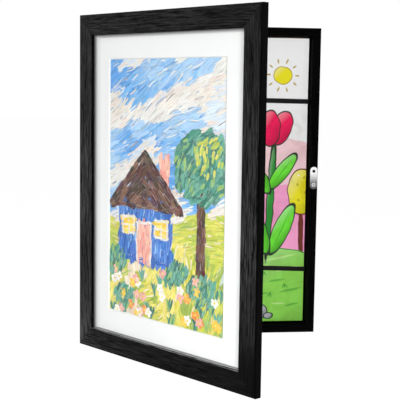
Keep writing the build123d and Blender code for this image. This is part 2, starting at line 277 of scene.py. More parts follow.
def object_place(tree, on_door=False):
    """Object coordinates, with the door turned shut for its own pieces."""
    place = add_node(tree, "TexCoord").outputs["Object"]
    if not on_door:
        return place
    inputs = {
        "Vector": place,
        "Rotation": SHUT.to_euler(),
        "Location": SHUT.to_translation(),
    }
    return add_node(tree, "Mapping", inputs).outputs[0]


def relief(tree, height, distance, strength):
    """A normal bent by a height between 0 and 1."""
    inputs = {"Height": height, "Distance": distance, "Strength": strength}
    return add_node(tree, "Bump", inputs).outputs[0]


def new_finish(name):
    """An empty node material and its tree."""
    material = bpy.data.materials.new(name)
    material.use_nodes = True
    material.node_tree.nodes.clear()
    return material, material.node_tree


def end_in(tree, shader, output="OutputMaterial"):
    """Show a shader at the end of its tree."""
    tree.links.new(shader.outputs[0], add_node(tree, output).inputs["Surface"])


def shade(tree, values):
    """End a tree in a Principled shader with these inputs."""
    end_in(tree, add_node(tree, "BsdfPrincipled", values))


def finish_node(node, material):
    """Give a CAD node its material."""
    materials = frame["nodes"][node].data.materials
    materials.clear()
    materials.append(material)


# Finishes: wood

# How much denser than the streaks the fine grain and the broad figure are, and their shares
FINE_DENSITY = 4
FIGURE_DENSITY = 0.3
FINE_SHARE = 0.35
FIGURE_SHARE = 0.14
# How soft the edge of the painted sheen is
LIP_SHEEN_BLUR = 0.3 * MM


def wood_grain(tree, place, scale):
    """Grain of streaks, fine grain and broad figure, and the fine grain by itself."""
    fine_scale = scaled(scale, FINE_DENSITY)
    figure_scale = scaled(scale, FIGURE_DENSITY)
    streaks = speckle(tree, place, scale, detail=3.0, roughness=0.62, distortion=0.3)
    fine = speckle(tree, place, fine_scale, detail=2.0, roughness=0.6, distortion=0.2)
    figure = speckle(tree, place, figure_scale, detail=2.0, roughness=0.5, distortion=0.5)
    grain = mix_values(tree, FINE_SHARE, streaks, fine)
    return mix_values(tree, FIGURE_SHARE, grain, figure), fine


def painted_light_along(tree, share, tones):
    """A lightness that changes along a side, from its (share, lightness) stops: painted light and
    shade standing in for how the lamps fall along it.
    """
    node = add_node(tree, "ValToRGB", {0: share})
    stops = node.color_ramp.elements
    while len(stops) < len(tones):
        stops.new(0.5)
    for stop, (position, lightness) in zip(stops, tones):
        stop.position = position
        stop.color = opaque([lightness] * 3)
    return node.outputs[0]


def painted_face_light(tree, shifted, normal, side, half_length):
    """How light a side is, all painted light and shade: its own tones on the front, another on its
    outer face, and dark inside as painted shade.
    """
    forward = add_node(tree, "SeparateXYZ", {0: normal}).outputs[1]
    front = spread_range(tree, forward, low=-0.1, high=-0.9, to_low=0.05)
    outward = add_node(tree, "VectorMath", {0: normal, 1: shifted}, operation="DOT_PRODUCT")
    outer = spread_range(tree, outward.outputs["Value"], low=0.06, high=0.09)
    place = add_node(tree, "SeparateXYZ", {0: shifted}).outputs[side["along"]]
    share = spread_range(tree, place, -half_length, half_length)
    tone = calculate(tree, "MULTIPLY", front, painted_light_along(tree, share, side["tones"]))
    outer_tone = calculate(tree, "MULTIPLY", outer, side["outer"])
    rest = calculate(tree, "SUBTRACT", 1.0, outer)
    return calculate(tree, "MULTIPLY_ADD", tone, rest, outer_tone)


def mitre_seam(tree, shifted, half):
    """Near 1 within a hair of a corner's mitre, and 0 elsewhere, for a place from the middle."""
    distance = vector_math(tree, "ABSOLUTE", shifted)
    parts = add_node(tree, "SeparateXYZ", {0: distance}).outputs
    inward = calculate(tree, "SUBTRACT", half.x, parts[0])
    downward = calculate(tree, "SUBTRACT", half.z, parts[2])
    off = calculate(tree, "ABSOLUTE", calculate(tree, "SUBTRACT", inward, downward))
    return spread_range(tree, off, low=0.08 * MM, high=0.3 * MM, to_low=0.85, to_high=0.0)


def wood_finish(name, part, side, settings, sight=None):
    """Black wood, its raised grain along a side, with painted light and shade along it; sight is
    the height of an edge painted pale as a painted sheen.
    """
    material, tree = new_finish(name)
    place = object_place(tree, part["on_door"])
    normal = shut_normal(tree, part["on_door"])
    shifted = vector_math(tree, "SUBTRACT", place, part["centre"])
    half = part["half"]
    along = side["along"]
    scale = [1 / settings.streak_width] * 3
    scale[along] = 1 / settings.streak_length
    grain, fine = wood_grain(tree, place, scale)
    ridge = spread_range(tree, grain, low=0.43, high=0.61)
    seam = mitre_seam(tree, shifted, half)
    # tone is painted light and shade: lighter or darker along the side and by the way each face
    # turns
    tone = painted_face_light(tree, shifted, normal, side, half[along])
    dark = opaque(part["dark"])
    lit = blend_colours(tree, tone, dark, opaque(part["light"]))
    # A painted sheen: a pale line along the lip's upper face where it would mirror the mat
    if sight is not None:
        foot = sight - settings.lip_sheen_width
        level = add_node(tree, "SeparateXYZ", {0: shifted}).outputs[2]
        painted_sheen = spread_range(tree, level, foot - LIP_SHEEN_BLUR, foot + LIP_SHEEN_BLUR)
        lit = blend_colours(tree, painted_sheen, lit, opaque(settings.lip_sheen_colour))
    shown = calculate(tree, "SUBTRACT", ridge, seam, clamp=True)
    height = calculate(tree, "SUBTRACT", ridge, seam)
    values = {
        "Base Color": blend_colours(tree, shown, dark, lit),
        "Roughness": spread_range(tree, fine, low=0.3, high=0.7, to_low=0.42, to_high=0.62),
        "Specular IOR Level": part["shine"],
        "Normal": relief(tree, height, settings.grain_depth, strength=0.55),
    }
    shade(tree, values)
    return material


# Finishes: board and paper

CLOUD_SCALE = 22.0
CLOUD_TONE = 0.94
# Colour of the painted shadow that the lip throws on the mat
LIP_SHADE_COLOUR = (0.01, 0.01, 0.01)


def board_finish(
    name, colour, fleck, fleck_scale, on_door, roughness=0.75, depth=0.05 * MM, shade_at=None
):
    """Matt board or paper with fibres of a second colour, and a painted shadow over it if given."""
    material, tree = new_finish(name)
    place = object_place(tree, on_door)
    fibres = speckle(tree, place, fleck_scale, detail=5.0, roughness=0.7, distortion=0.6)
    flecked = spread_range(tree, fibres, low=0.45, high=0.72)
    shown = blend_colours(tree, flecked, opaque(colour), opaque(fleck))
    cloud = speckle(tree, place, CLOUD_SCALE, detail=2.0, roughness=0.5)
    cloudy = spread_range(tree, cloud, low=0.35, high=0.75, to_high=0.5)
    shown = blend_colours(tree, cloudy, shown, opaque(scaled(colour, CLOUD_TONE)))
    if shade_at:
        shown = blend_colours(tree, shade_at(tree, place), shown, opaque(LIP_SHADE_COLOUR))
    values = {
        "Base Color": shown,
        "Roughness": roughness,
        "Specular IOR Level": 0.2,
        "Normal": relief(tree, fibres, depth, strength=0.6),
    }
    shade(tree, values)
    return material


def lip_shade(tree, place):
    """How much painted shadow of the moulding's lip darkens the mat along its left, top and bottom
    edges, with a painted highlight line inside the bottom band.
    """
    parts = add_node(tree, "SeparateXYZ", {0: place}).outputs
    left = shut_box("door_hinge_stile")[1].x
    top = shut_box("door_top_rail")[0].z
    bottom = shut_box("door_bottom_rail")[1].z
    side_end = left + 5.2 * MM
    haze_end = left + 13 * MM
    head_end = top - 4.3 * MM
    foot_top, foot_core = bottom + 2.6 * MM, bottom + 1.5 * MM
    gleam_top, gleam_core = bottom + 1.0 * MM, bottom + 0.3 * MM
    side = spread_range(tree, parts[0], left, side_end, to_low=0.72, to_high=0.0)
    haze = spread_range(tree, parts[0], side_end, haze_end, to_low=0.2, to_high=0.0)
    head = spread_range(tree, parts[2], top, head_end, to_low=0.95, to_high=0.0)
    foot = spread_range(tree, parts[2], foot_top, foot_core, to_high=0.75)
    gleam = spread_range(tree, parts[2], gleam_top, gleam_core, to_high=0.3)
    side = calculate(tree, "ADD", side, haze)
    foot = calculate(tree, "SUBTRACT", foot, gleam)
    return calculate(tree, "MAXIMUM", side, calculate(tree, "MAXIMUM", head, foot))


# Finishes: metal, acrylic and elastic

# Noise cells per metre across and along the polishing lines, and the lines' depth
LINES_ACROSS = 5200.0
LINES_ALONG = 160.0
LINE_DEPTH = 0.012 * MM


def polishing_lines(tree, place, axis=2):
    """Fine lines along one axis."""
    scale = [LINES_ACROSS] * 3
    scale[axis] = LINES_ALONG
    return speckle(tree, place, scale, detail=3.0, roughness=0.65)


def shade_metal(tree, colour, roughness, lines):
    """End a tree in metal of a colour, with lines in its surface."""
    values = {
        "Base Color": colour,
        "Metallic": 1.0,
        "Roughness": roughness,
        "Normal": relief(tree, lines, LINE_DEPTH, strength=0.4),
    }
    shade(tree, values)


def metal_finish(name, colour, roughness, axis=2, wear=0.12):
    """Plated or polished steel with fine lines along an axis and slight clouding."""
    material, tree = new_finish(name)
    place = object_place(tree)
    lines = polishing_lines(tree, place, axis)
    clouds = speckle(tree, place, 260.0, detail=3.0, roughness=0.6)
    cloudy = spread_range(tree, clouds, low=0.35, high=0.7)
    smooth, coarse = roughness - wear / 2, roughness + wear / 2
    rough = spread_range(tree, lines, low=0.3, high=0.7, to_low=smooth, to_high=coarse)
    rough = calculate(tree, "MULTIPLY_ADD", cloudy, wear / 2, rough)
    shown = blend_colours(tree, cloudy, opaque(colour), opaque(scaled(colour, 0.88)))
    shade_metal(tree, shown, rough, lines)
    return material


def plate_finish(bright, dull):
    """Polished steel, painted bright at its top round the empty hole and dull toward the screw and
    at its right edge as a painted reflection, with painted shadow in a ring round the hole and
    along its foot.
    """
    material, tree = new_finish("plate with painted shade")
    low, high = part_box("strike_plate")
    size = high - low
    place = object_place(tree)
    parts = add_node(tree, "SeparateXYZ", {0: place}).outputs
    clouds = speckle(tree, place, 420.0, detail=3.0, roughness=0.6)
    # The dull share is a painted reflection and shade: bright at the top, dull lower down and along
    # the right edge
    height = calculate(tree, "MULTIPLY_ADD", clouds, 0.12 * size.z, parts[2])
    dull_shade_top = high.z - 0.23 * size.z
    dull_shade_core = low.z + 0.36 * size.z
    dull_shade = spread_range(tree, height, dull_shade_top, dull_shade_core)
    edge_start = high.x - 0.12 * size.x
    edge = spread_range(tree, parts[0], edge_start, high.x, to_high=0.6)
    dull_shade = calculate(tree, "MAXIMUM", dull_shade, edge)
    # Painted shadow: a dark ring round the empty hole and a darker foot along the bottom edge
    screw_height = 0.5 * sum(corner.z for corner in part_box("strike_screw"))
    hole = (0.5 * (low.x + high.x), low.y, low.z + high.z - screw_height)
    away = add_node(tree, "VectorMath", {0: place, 1: hole}, operation="DISTANCE").outputs["Value"]
    ring = spread_range(tree, away, low=2 * MM, high=1.7 * MM)
    foot_top = low.z + 0.2 * size.z
    foot = spread_range(tree, parts[2], foot_top, low.z, to_high=0.8)
    painted_shadow = calculate(tree, "MAXIMUM", ring, foot)
    shown = blend_colours(tree, dull_shade, opaque(bright), opaque(dull))
    shown = blend_colours(tree, painted_shadow, shown, opaque(scaled(dull, 0.25)))
    lines = polishing_lines(tree, place)
    rough = spread_range(tree, lines, low=0.3, high=0.7, to_low=0.12, to_high=0.24)
    shade_metal(tree, shown, rough, lines)
    return material


def acrylic_finish():
    """Clear acrylic that lets the lamps through, its IOR lowered to keep reflections faint."""
    material, tree = new_finish("clear acrylic")
    values = {
        "Base Color": (0.985, 0.99, 0.99, 1.0),
        "Transmission Weight": 1.0,
        "Roughness": 0.0,
        "IOR": 1.22,
    }
    pane = add_node(tree, "BsdfPrincipled", values)
    clear = add_node(tree, "BsdfTransparent", {"Color": (0.985, 0.99, 0.985, 1.0)})
    path = add_node(tree, "LightPath").outputs
    lit = calculate(tree, "MAXIMUM", path["Is Shadow Ray"], path["Is Diffuse Ray"])
    inputs = {0: lit, 1: pane.outputs[0], 2: clear.outputs[0]}
    end_in(tree, add_node(tree, "MixShader", inputs))
    return material


def elastic_finish(colour):
    """Woven elastic, ribbed along its length, in the band's own coordinates in metres, its raised
    yarn painted lighter as a painted sheen.
    """
    rib_pitch = 0.9 * MM
    yarn_pitch = 0.62 * MM
    yarn_slant = 0.35 * MM
    yarn_share = 0.4
    material, tree = new_finish("woven elastic")
    place = add_node(tree, "UVMap", uv_map="weave").outputs[0]
    parts = add_node(tree, "SeparateXYZ", {0: place}).outputs
    rib_phase = calculate(tree, "MULTIPLY", parts[1], math.tau / rib_pitch)
    rib = calculate(tree, "ABSOLUTE", calculate(tree, "SINE", rib_phase))
    slant = calculate(tree, "MULTIPLY_ADD", rib, yarn_slant, parts[0])
    yarn_phase = calculate(tree, "MULTIPLY", slant, math.tau / yarn_pitch)
    yarn = spread_range(tree, calculate(tree, "SINE", yarn_phase), low=-1.0, high=1.0)
    height = mix_values(tree, yarn_share, rib, yarn)
    # Raised yarn is painted three times lighter: a painted sheen
    values = {
        "Base Color": blend_colours(tree, height, opaque(colour), opaque(scaled(colour, 3))),
        "Roughness": 0.8,
        "Specular IOR Level": 0.25,
        "Sheen Weight": 0.05,
        "Normal": relief(tree, height, 0.2 * MM, strength=1.0),
    }
    shade(tree, values)
    return material


# Finishes: paint

BRISTLE_SCALE = (45.0, 700.0, 1.0)
LUMP_SCALE = (220.0, 420.0, 1.0)
CREST_HIGHLIGHT = (0.9, 0.88, 0.84)
FURROW_SHADE = (0.58, 0.56, 0.60)


def paint_finish():
    """Thick oil paint in the strokes' own colours, streaked along each stroke, with painted
    highlights on its crests and painted shade in its furrows.
    """
    material, tree = new_finish("thick paint")
    colour = add_node(tree, "VertexColor", layer_name="paint").outputs[0]
    place = add_node(tree, "UVMap", uv_map="bristles").outputs[0]
    bristles = speckle(tree, place, BRISTLE_SCALE, detail=4.0, roughness=0.65, distortion=0.3)
    lumps = speckle(tree, place, LUMP_SCALE, detail=3.0, roughness=0.55)
    crests = spread_range(tree, bristles, low=0.54, high=0.64)
    furrows = spread_range(tree, bristles, low=0.45, high=0.36)
    # Painted highlight on the crests of the bristle marks and painted shade in their furrows
    pale = blend_colours(tree, 0.3, colour, opaque(CREST_HIGHLIGHT))
    deep = multiply_colours(tree, colour, opaque(FURROW_SHADE))
    shown = blend_colours(tree, crests, colour, pale)
    shown = blend_colours(tree, furrows, shown, deep)
    lump_height = calculate(tree, "MULTIPLY", lumps, 0.5)
    height = calculate(tree, "MULTIPLY_ADD", bristles, 0.7, lump_height)
    values = {
        "Base Color": shown,
        "Roughness": spread_range(tree, lumps, low=0.3, high=0.7, to_low=0.38, to_high=0.6),
        "Specular IOR Level": 0.15,
        "Normal": relief(tree, height, 0.5 * MM, strength=0.9),
    }
    shade(tree, values)
    return material


# Meshes


def new_piece(name, bm, body, material, replaced=(), smooth_angle=None):
    """Make a mesh object from a bmesh, in place, riding on a body."""
    mesh = bpy.data.meshes.new(name)
    bm.to_mesh(mesh)
    bm.free()
    packed_normals = mesh.attributes.get("custom_normal")
    if packed_normals:
        mesh.attributes.remove(packed_normals)
    if smooth_angle is not None:
        mesh.shade_smooth()
        mesh.set_sharp_from_angle(angle=smooth_angle)
    piece = bpy.data.objects.new(name, mesh)
    bpy.context.scene.collection.objects.link(piece)
    mesh.materials.append(material)
    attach(piece, body)
    if replaced:
        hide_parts(*replaced)
    return piece


def shut_box(node):
    """The corners of a door node in the frame where the door is shut."""
    points = [SHUT @ vertex.co for vertex in frame["nodes"][node].data.vertices]
    low = Vector([min(point[axis] for point in points) for axis in range(3)])
    high = Vector([max(point[axis] for point in points) for axis in range(3)])
    return low, high


def add_slab(bm, low, high):
    """Add a box between two corners."""
    size = high - low
    place = Matrix.Translation((low + high) / 2) @ Matrix.Diagonal((*size, 1.0))
    return bmesh.ops.create_cube(bm, size=1.0, matrix=place)["verts"]


# The displayed picture: a painted landscape in thick strokes, in millimetres from its middle

SKY = ((0.10, 0.34, 0.76), (0.17, 0.43, 0.81), (0.25, 0.50, 0.84), (0.38, 0.60, 0.86))
CLOUD = ((0.66, 0.75, 0.86), (0.82, 0.73, 0.66), (0.81, 0.76, 0.70), (0.82, 0.80, 0.77))
FAR_HILL = ((0.45, 0.56, 0.07), (0.61, 0.64, 0.08), (0.72, 0.68, 0.12))
MEADOW = ((0.33, 0.46, 0.06), (0.58, 0.60, 0.06), (0.74, 0.66, 0.08), (0.84, 0.73, 0.17))
LEAVES = ((0.03, 0.17, 0.13), (0.06, 0.27, 0.19), (0.13, 0.38, 0.28), (0.30, 0.50, 0.14))
WALLS = ((0.02, 0.12, 0.46), (0.03, 0.16, 0.56), (0.05, 0.21, 0.64))
WALL_LIGHT = ((0.14, 0.36, 0.78), (0.30, 0.52, 0.86))
ROOF = ((0.028, 0.010, 0.008), (0.055, 0.019, 0.012), (0.10, 0.038, 0.025), (0.19, 0.085, 0.055))
BARK = ((0.05, 0.020, 0.014), (0.10, 0.040, 0.025), (0.16, 0.07, 0.04))
ROSE = ((0.84, 0.30, 0.25), (0.90, 0.42, 0.32), (0.93, 0.52, 0.42))
LAMPLIGHT = ((0.93, 0.62, 0.05), (0.95, 0.74, 0.14))
TRACK = ((0.84, 0.64, 0.48), (0.91, 0.76, 0.56), (0.93, 0.85, 0.70))
SHADOWS = ((0.42, 0.36, 0.33), (0.34, 0.42, 0.56))
PETALS = ((0.88, 0.30, 0.05), (0.94, 0.60, 0.06), (0.92, 0.44, 0.40), (0.94, 0.90, 0.84))
PRIMER = (0.55, 0.66, 0.62)
PRIMER_FLECK = (0.7, 0.72, 0.5)

# The far hills' wave
FAR_HILLS = {"level": -30, "rise": 13, "middle": 18, "pitch": 42}

# Coats of paint above the landscape's own three
RIDGE_COAT, BASE_COAT, MIDDLE_COAT, UPPER_COAT, TOP_COAT = 3, 4, 5, 6, 7


def wave(at, level, rise, middle, pitch):
    """A gentle wave about a level, through its middle."""
    return level + rise * math.sin((at - middle) / pitch)


def drift(x, z, wide, tall, layer):
    """Soft noise in patches of a width and height, from one layer of it."""
    return noise.noise(Vector((x / wide, z / tall, layer)))


def far_hill_line(x):
    """Height of the far hills."""
    return wave(x, **FAR_HILLS)


def meadow_line(x):
    """Height where the near meadow starts."""
    return wave(x, level=-66, rise=9, middle=-40, pitch=36)


def track_middle(z):
    """The middle of the track that winds down from the house."""
    return wave(z, level=-28, rise=30, middle=-76, pitch=26)


def track_reach(z):
    """Half the width of the track, wider towards the front."""
    narrowest = 5
    widens_below = -72
    growth = 0.13
    return narrowest + max(0.0, widens_below - z) * growth


def anywhere(x, z):
    """Every place is inside."""
    return True


def steady(degrees):
    """The same angle for every stroke."""
    return lambda x, z: degrees


class Painter:
    """Lays brush strokes on the sheet, in millimetres from its middle."""

    # How many strokes are laid before they dry
    batch = 60

    # How a stroke's colour varies: its place in the palette, its tone and each part of it
    palette_spread = 0.55
    tone_spread = 0.06
    part_spread = 0.01

    # A stroke's bend and ragged ends, in shares of its length, and how its tips narrow
    bend = 0.09
    raggedness = 0.05
    tip_taper = 0.7

    # Where a stroke's rim starts, and how high its hollow and its side ridges stand
    rim = 0.45
    hollow = 0.65
    side_ridge = 1.6

    # The step along a line in millimetres, and how far its strokes reach over it
    line_step = 9
    line_overlap = 1.4

    def __init__(self, settings):
        self.settings = settings
        self.random = random.Random(settings.seed)
        self.painted = self.new_coat()
        self.fresh = self.new_coat()
        self.strokes = 0

    def new_coat(self):
        """An empty bmesh with colours and stroke coordinates."""
        bm = bmesh.new()
        bm.loops.layers.float_color.new("paint")
        bm.loops.layers.uv.new("bristles")
        return bm

    def dry(self):
        """Move the fresh strokes to the painted ones, which keeps each stroke quick."""
        mesh = bpy.data.meshes.new("fresh strokes")
        self.fresh.to_mesh(mesh)
        self.fresh.free()
        self.painted.from_mesh(mesh)
        bpy.data.meshes.remove(mesh)
        self.fresh = self.new_coat()

    def tint(self, palette, share):
        """A colour near a share of the way through a palette, a little varied."""
        index = share * len(palette) - 0.5 + self.random.gauss(0, self.palette_spread)
        base = palette[min(len(palette) - 1, max(0, round(index)))]
        tone = 1 + self.random.gauss(0, self.tone_spread)
        varied = [part * tone + self.random.gauss(0, self.part_spread) for part in base]
        return [min(1.0, max(0.0, part)) for part in varied]

    def stroke(self, x, z, angle, length, width, palette, coat, share=None):
        """Lay one stroke: a low mound of paint with ridged sides, bent a little."""
        if share is None:
            share = self.random.random()
        colour = opaque(self.tint(palette, share))
        created = bmesh.ops.create_grid(self.fresh, x_segments=6, y_segments=4, size=0.5)["verts"]
        colours = self.fresh.loops.layers.float_color["paint"]
        places = self.fresh.loops.layers.uv["bristles"]
        step = self.settings.layer_step
        ground = (coat + self.random.random()) * step
        height = self.settings.paint_height * (0.6 + 0.8 * self.random.random())
        bend = self.random.gauss(0, self.bend) * length
        shift = Vector((self.random.random(), self.random.random()))
        turn = Matrix.Rotation(angle, 2)
        for vertex in created:
            along, across = vertex.co.x, vertex.co.y
            edge = abs(across) > self.rim or abs(along) > self.rim
            ragged = self.random.gauss(0, self.raggedness) if edge else 0.0
            taper = 1 - self.tip_taper * abs(2 * along) ** 4
            flat = turn @ Vector((
                (along + ragged) * length,
                across * width * taper + bend * (4 * along * along - 1) / 2,
            ))
            mound = 0.0 if edge else height * (self.hollow + self.side_ridge * abs(across))
            vertex.co = ((x + flat.x) * MM, -(ground + mound), (z + flat.y) * MM)
            for loop in vertex.link_loops:
                loop[places].uv = (along * length * MM + shift.x, across * width * MM + shift.y)
                loop[colours] = colour
        self.strokes += 1
        if self.strokes % self.batch == 0:
            self.dry()

    def scatter(self, size, count):
        """Places spread over a rectangle, one in each cell of a grid, in mixed order."""
        columns = max(1, round(math.sqrt(count * size[0] / size[1])))
        rows = max(1, round(count / columns))
        places = [
            (
                size[0] * ((column + self.random.random()) / columns - 0.5),
                size[1] * ((row + self.random.random()) / rows - 0.5),
            )
            for column in range(columns)
            for row in range(rows)
        ]
        self.random.shuffle(places)
        return places

    def area(self, corner, size, inside, angle, length, width, palette, coat, cover):
        """Cover the part of a rectangle that is inside a shape; angle may follow the place."""
        count = max(2, round(cover * size[0] * size[1] / (length * width)))
        for x, z in self.scatter(size, count):
            x += corner[0] + size[0] / 2
            z += corner[1] + size[1] / 2
            if inside(x, z):
                turn = math.radians(angle(x, z) + self.random.gauss(0, 7))
                self.stroke(x, z, turn, length, width, palette, coat)

    def line(self, start, end, width, palette, coat):
        """A row of short overlapping strokes from one point to another."""
        run = Vector(end) - Vector(start)
        count = max(2, round(run.length / self.line_step))
        length = self.line_overlap * run.length / count
        angle = math.atan2(run.y, run.x)
        for index in range(count):
            middle = Vector(start) + run * ((index + 0.5) / count)
            turn = angle + self.random.gauss(0, 0.05)
            self.stroke(middle.x, middle.y, turn, length, width, palette, coat)

    def ground_at(self, x, z):
        """The landscape's colours, a share of the palette and the stroke's angle at a place."""
        share = 0.5 + 1.1 * drift(x, z, wide=38, tall=30, layer=6.3)
        if z > far_hill_line(x):
            cloud = drift(x + 0.9 * z, z - 0.5 * x, wide=88, tall=40, layer=2.3)
            palette = CLOUD if cloud > 0.06 else SKY
            angle = 26 + 30 * drift(x, z, wide=90, tall=70, layer=9.1)
            spread = 8
        elif z > meadow_line(x):
            palette = FAR_HILL
            angle = 16 * math.cos((x - FAR_HILLS["middle"]) / FAR_HILLS["pitch"])
            spread = 8
        elif abs(x - track_middle(z)) < track_reach(z):
            palette = TRACK
            angle = 100
            spread = 14
        else:
            palette = MEADOW
            angle = 52 + 34 * math.sin(x / 30)
            spread = 16
        return palette, share, angle + self.random.gauss(0, spread)

    def landscape(self, size):
        """Cover the sheet in coats of sky, hills, meadow and track, each in finer strokes."""
        coats = ((330, 40, 12.5), (520, 28, 8.0), (430, 21, 4.6))
        for coat, (count, length, width) in enumerate(coats):
            for x, z in self.scatter(size, count):
                palette, share, angle = self.ground_at(x, z)
                stretch = 0.75 + 0.5 * self.random.random()
                turn = math.radians(angle)
                length_here, width_here = length * stretch, width * stretch
                self.stroke(x, z, turn, length_here, width_here, palette, coat, share)

    def ridges(self, size):
        """Thin ridges of thick paint that run with the strokes under them, pale ones as painted
        highlights and dark ones as painted shade.
        """
        ridge_count = 300
        pale_share = 0.72
        for x, z in self.scatter(size, ridge_count):
            palette, share, angle = self.ground_at(x, z)
            pale = self.random.random() < pale_share
            if palette is MEADOW or palette is FAR_HILL:
                colours = TRACK if pale else LEAVES[3:]
            else:
                colours = CLOUD[3:] if pale else SHADOWS
            length = 6 + 18 * self.random.random() ** 2
            width = 1.1 + 0.9 * self.random.random()
            self.stroke(x, z, math.radians(angle), length, width, colours, RIDGE_COAT, share)

    def house(self):
        """A blue house with a dark brown roof, left of the middle."""
        ridge_x = -32

        def under_roof(x, z):
            return abs(x - ridge_x) < 40 - z

        def down_slope(x, z):
            return 44 if x < ridge_x else -44

        self.area(
            (-76, -78), (88, 64), anywhere, steady(84),
            length=20, width=8, palette=WALLS, coat=BASE_COAT, cover=4.2,
        )
        self.area(
            (-74, -74), (84, 54), anywhere, steady(88),
            length=12, width=2.6, palette=WALL_LIGHT, coat=MIDDLE_COAT, cover=0.28,
        )
        self.line((-78, -79), (14, -79), width=5.0, palette=WALLS[:1], coat=MIDDLE_COAT)
        # The chimney, and then the roof
        self.area(
            (-6, 8), (13, 30), anywhere, steady(90),
            length=12, width=6, palette=ROSE, coat=BASE_COAT, cover=4.0,
        )
        self.area(
            (-94, -18), (124, 60), under_roof, down_slope,
            length=19, width=7, palette=ROOF, coat=MIDDLE_COAT, cover=4.0,
        )
        peak = (ridge_x, 42)
        for start, end in (((-94, -19), peak), ((30, -19), peak), ((-92, -19), (28, -19))):
            self.line(start, end, width=5.0, palette=ROOF, coat=UPPER_COAT)
        self.door()
        for left in (-69, -13):
            self.window(left)

    def door(self):
        """The house's door, its pale frame and its knob."""
        self.area(
            (-43, -78), (21, 40), anywhere, steady(90),
            length=15, width=5.5, palette=ROSE, coat=UPPER_COAT, cover=4.2,
        )
        posts = (((-44, -80), (-44, -37)), ((-45, -37), (-20, -37)), ((-21, -37), (-21, -80)))
        for start, end in posts:
            self.line(start, end, width=3.2, palette=CLOUD[2:], coat=TOP_COAT)
        self.line((-27, -58), (-25, -58), width=2.6, palette=LAMPLIGHT, coat=TOP_COAT)

    def window(self, left):
        """A lit window with a pale frame and a cross of bars."""
        self.area(
            (left, -50), (19, 18), anywhere, steady(8),
            length=11, width=5, palette=LAMPLIGHT, coat=UPPER_COAT, cover=4.0,
        )
        level_bars = [((left - 1, z), (left + 20, z)) for z in (-50, -41, -32)]
        upright_bars = [((left + across, -51), (left + across, -31)) for across in (0, 9.5, 19)]
        for start, end in level_bars + upright_bars:
            self.line(start, end, width=3.0, palette=CLOUD[2:], coat=TOP_COAT)

    def tree(self):
        """A round tree to the right of the house."""
        for x, lean in ((54, 3), (59, 1), (64, -2)):
            self.line((x, -96), (x + lean, 4), width=6.5, palette=BARK, coat=BASE_COAT)

        crown_stretch = 1.12

        def crown(x, z, middle=(60, 30), reach=38):
            return math.hypot((x - middle[0]) / crown_stretch, z - middle[1]) < reach

        def lit_crown(x, z):
            return crown(x, z, middle=(70, 42), reach=21) and self.random.random() < 0.5

        def leafy(x, z):
            return 62 + 70 * drift(x, z, wide=17, tall=17, layer=3.7)

        self.area(
            (15, -10), (90, 82), crown, leafy,
            length=15, width=7.5, palette=LEAVES[:3], coat=MIDDLE_COAT, cover=3.4,
        )
        self.area(
            (15, -10), (90, 82), crown, leafy,
            length=10, width=4.4, palette=LEAVES, coat=UPPER_COAT, cover=1.2,
        )
        self.area(
            (44, 16), (52, 52), lit_crown, leafy,
            length=9, width=3.8, palette=FAR_HILL, coat=TOP_COAT, cover=1.6,
        )

    def bushes(self):
        """Dark green clumps along the house and under the tree, as middle, foot and reach."""
        stretch = 1.5
        fullness = 0.8
        for middle, foot, reach in ((-84, -84, 17), (22, -86, 14), (62, -100, 19), (-66, -124, 15)):
            def clump(x, z):
                return math.hypot((x - middle) / stretch, z - foot) < fullness * reach

            corner = (middle - stretch * reach, foot - reach)
            size = (2 * stretch * reach, 2 * reach)
            self.area(
                corner, size, clump, steady(62),
                length=13, width=5, palette=LEAVES[:3], coat=MIDDLE_COAT, cover=2.6,
            )
            self.area(
                corner, size, clump, steady(74),
                length=9, width=3, palette=LEAVES[2:], coat=UPPER_COAT, cover=0.8,
            )

    def flowers(self, size):
        """Tufts and petals over the near meadow."""
        tuft_count = 26
        clearance = 3
        for _ in range(tuft_count):
            x, z = self.meadow_place(size, top=-96, depth=46)
            if abs(x - track_middle(z)) > track_reach(z) + clearance:
                for blade in (-1, 0, 1):
                    turn = math.radians(90 - 22 * blade + self.random.gauss(0, 6))
                    place = (x + 2 * blade, z)
                    self.stroke(*place, turn, length=15, width=3.6, palette=LEAVES, coat=BASE_COAT)
        flower_count = 34
        for _ in range(flower_count):
            x, z = self.meadow_place(size, top=-88, depth=54)
            self.flower(x, z, [self.random.choice(PETALS)])

    def meadow_place(self, size, top, depth):
        """A random place across the sheet, from a height down to a depth below it."""
        x = size[0] * (self.random.random() - 0.5)
        return x, top - depth * self.random.random()

    def flower(self, x, z, palette):
        """Five petals round a yellow middle."""
        for petal in range(5):
            turn = math.radians(72 * petal + self.random.gauss(0, 12))
            reach = Vector((math.cos(turn), math.sin(turn))) * 2.8
            place = (x + reach.x, z + reach.y)
            self.stroke(*place, turn, length=6.4, width=4.4, palette=palette, coat=UPPER_COAT)
        self.stroke(x, z, 0, length=3.4, width=3.2, palette=LAMPLIGHT, coat=TOP_COAT)


def trim_to(bm, low, high):
    """Cut a mesh off outside a rectangle in the frame of the shut door."""
    for axis in (0, 2):
        for corner, sign in ((low, -1), (high, 1)):
            normal = Vector((0, 0, 0))
            normal[axis] = sign
            geometry = list(bm.verts) + list(bm.edges) + list(bm.faces)
            bmesh.ops.bisect_plane(
                bm, geom=geometry, plane_co=corner, plane_no=normal, clear_outer=True
            )


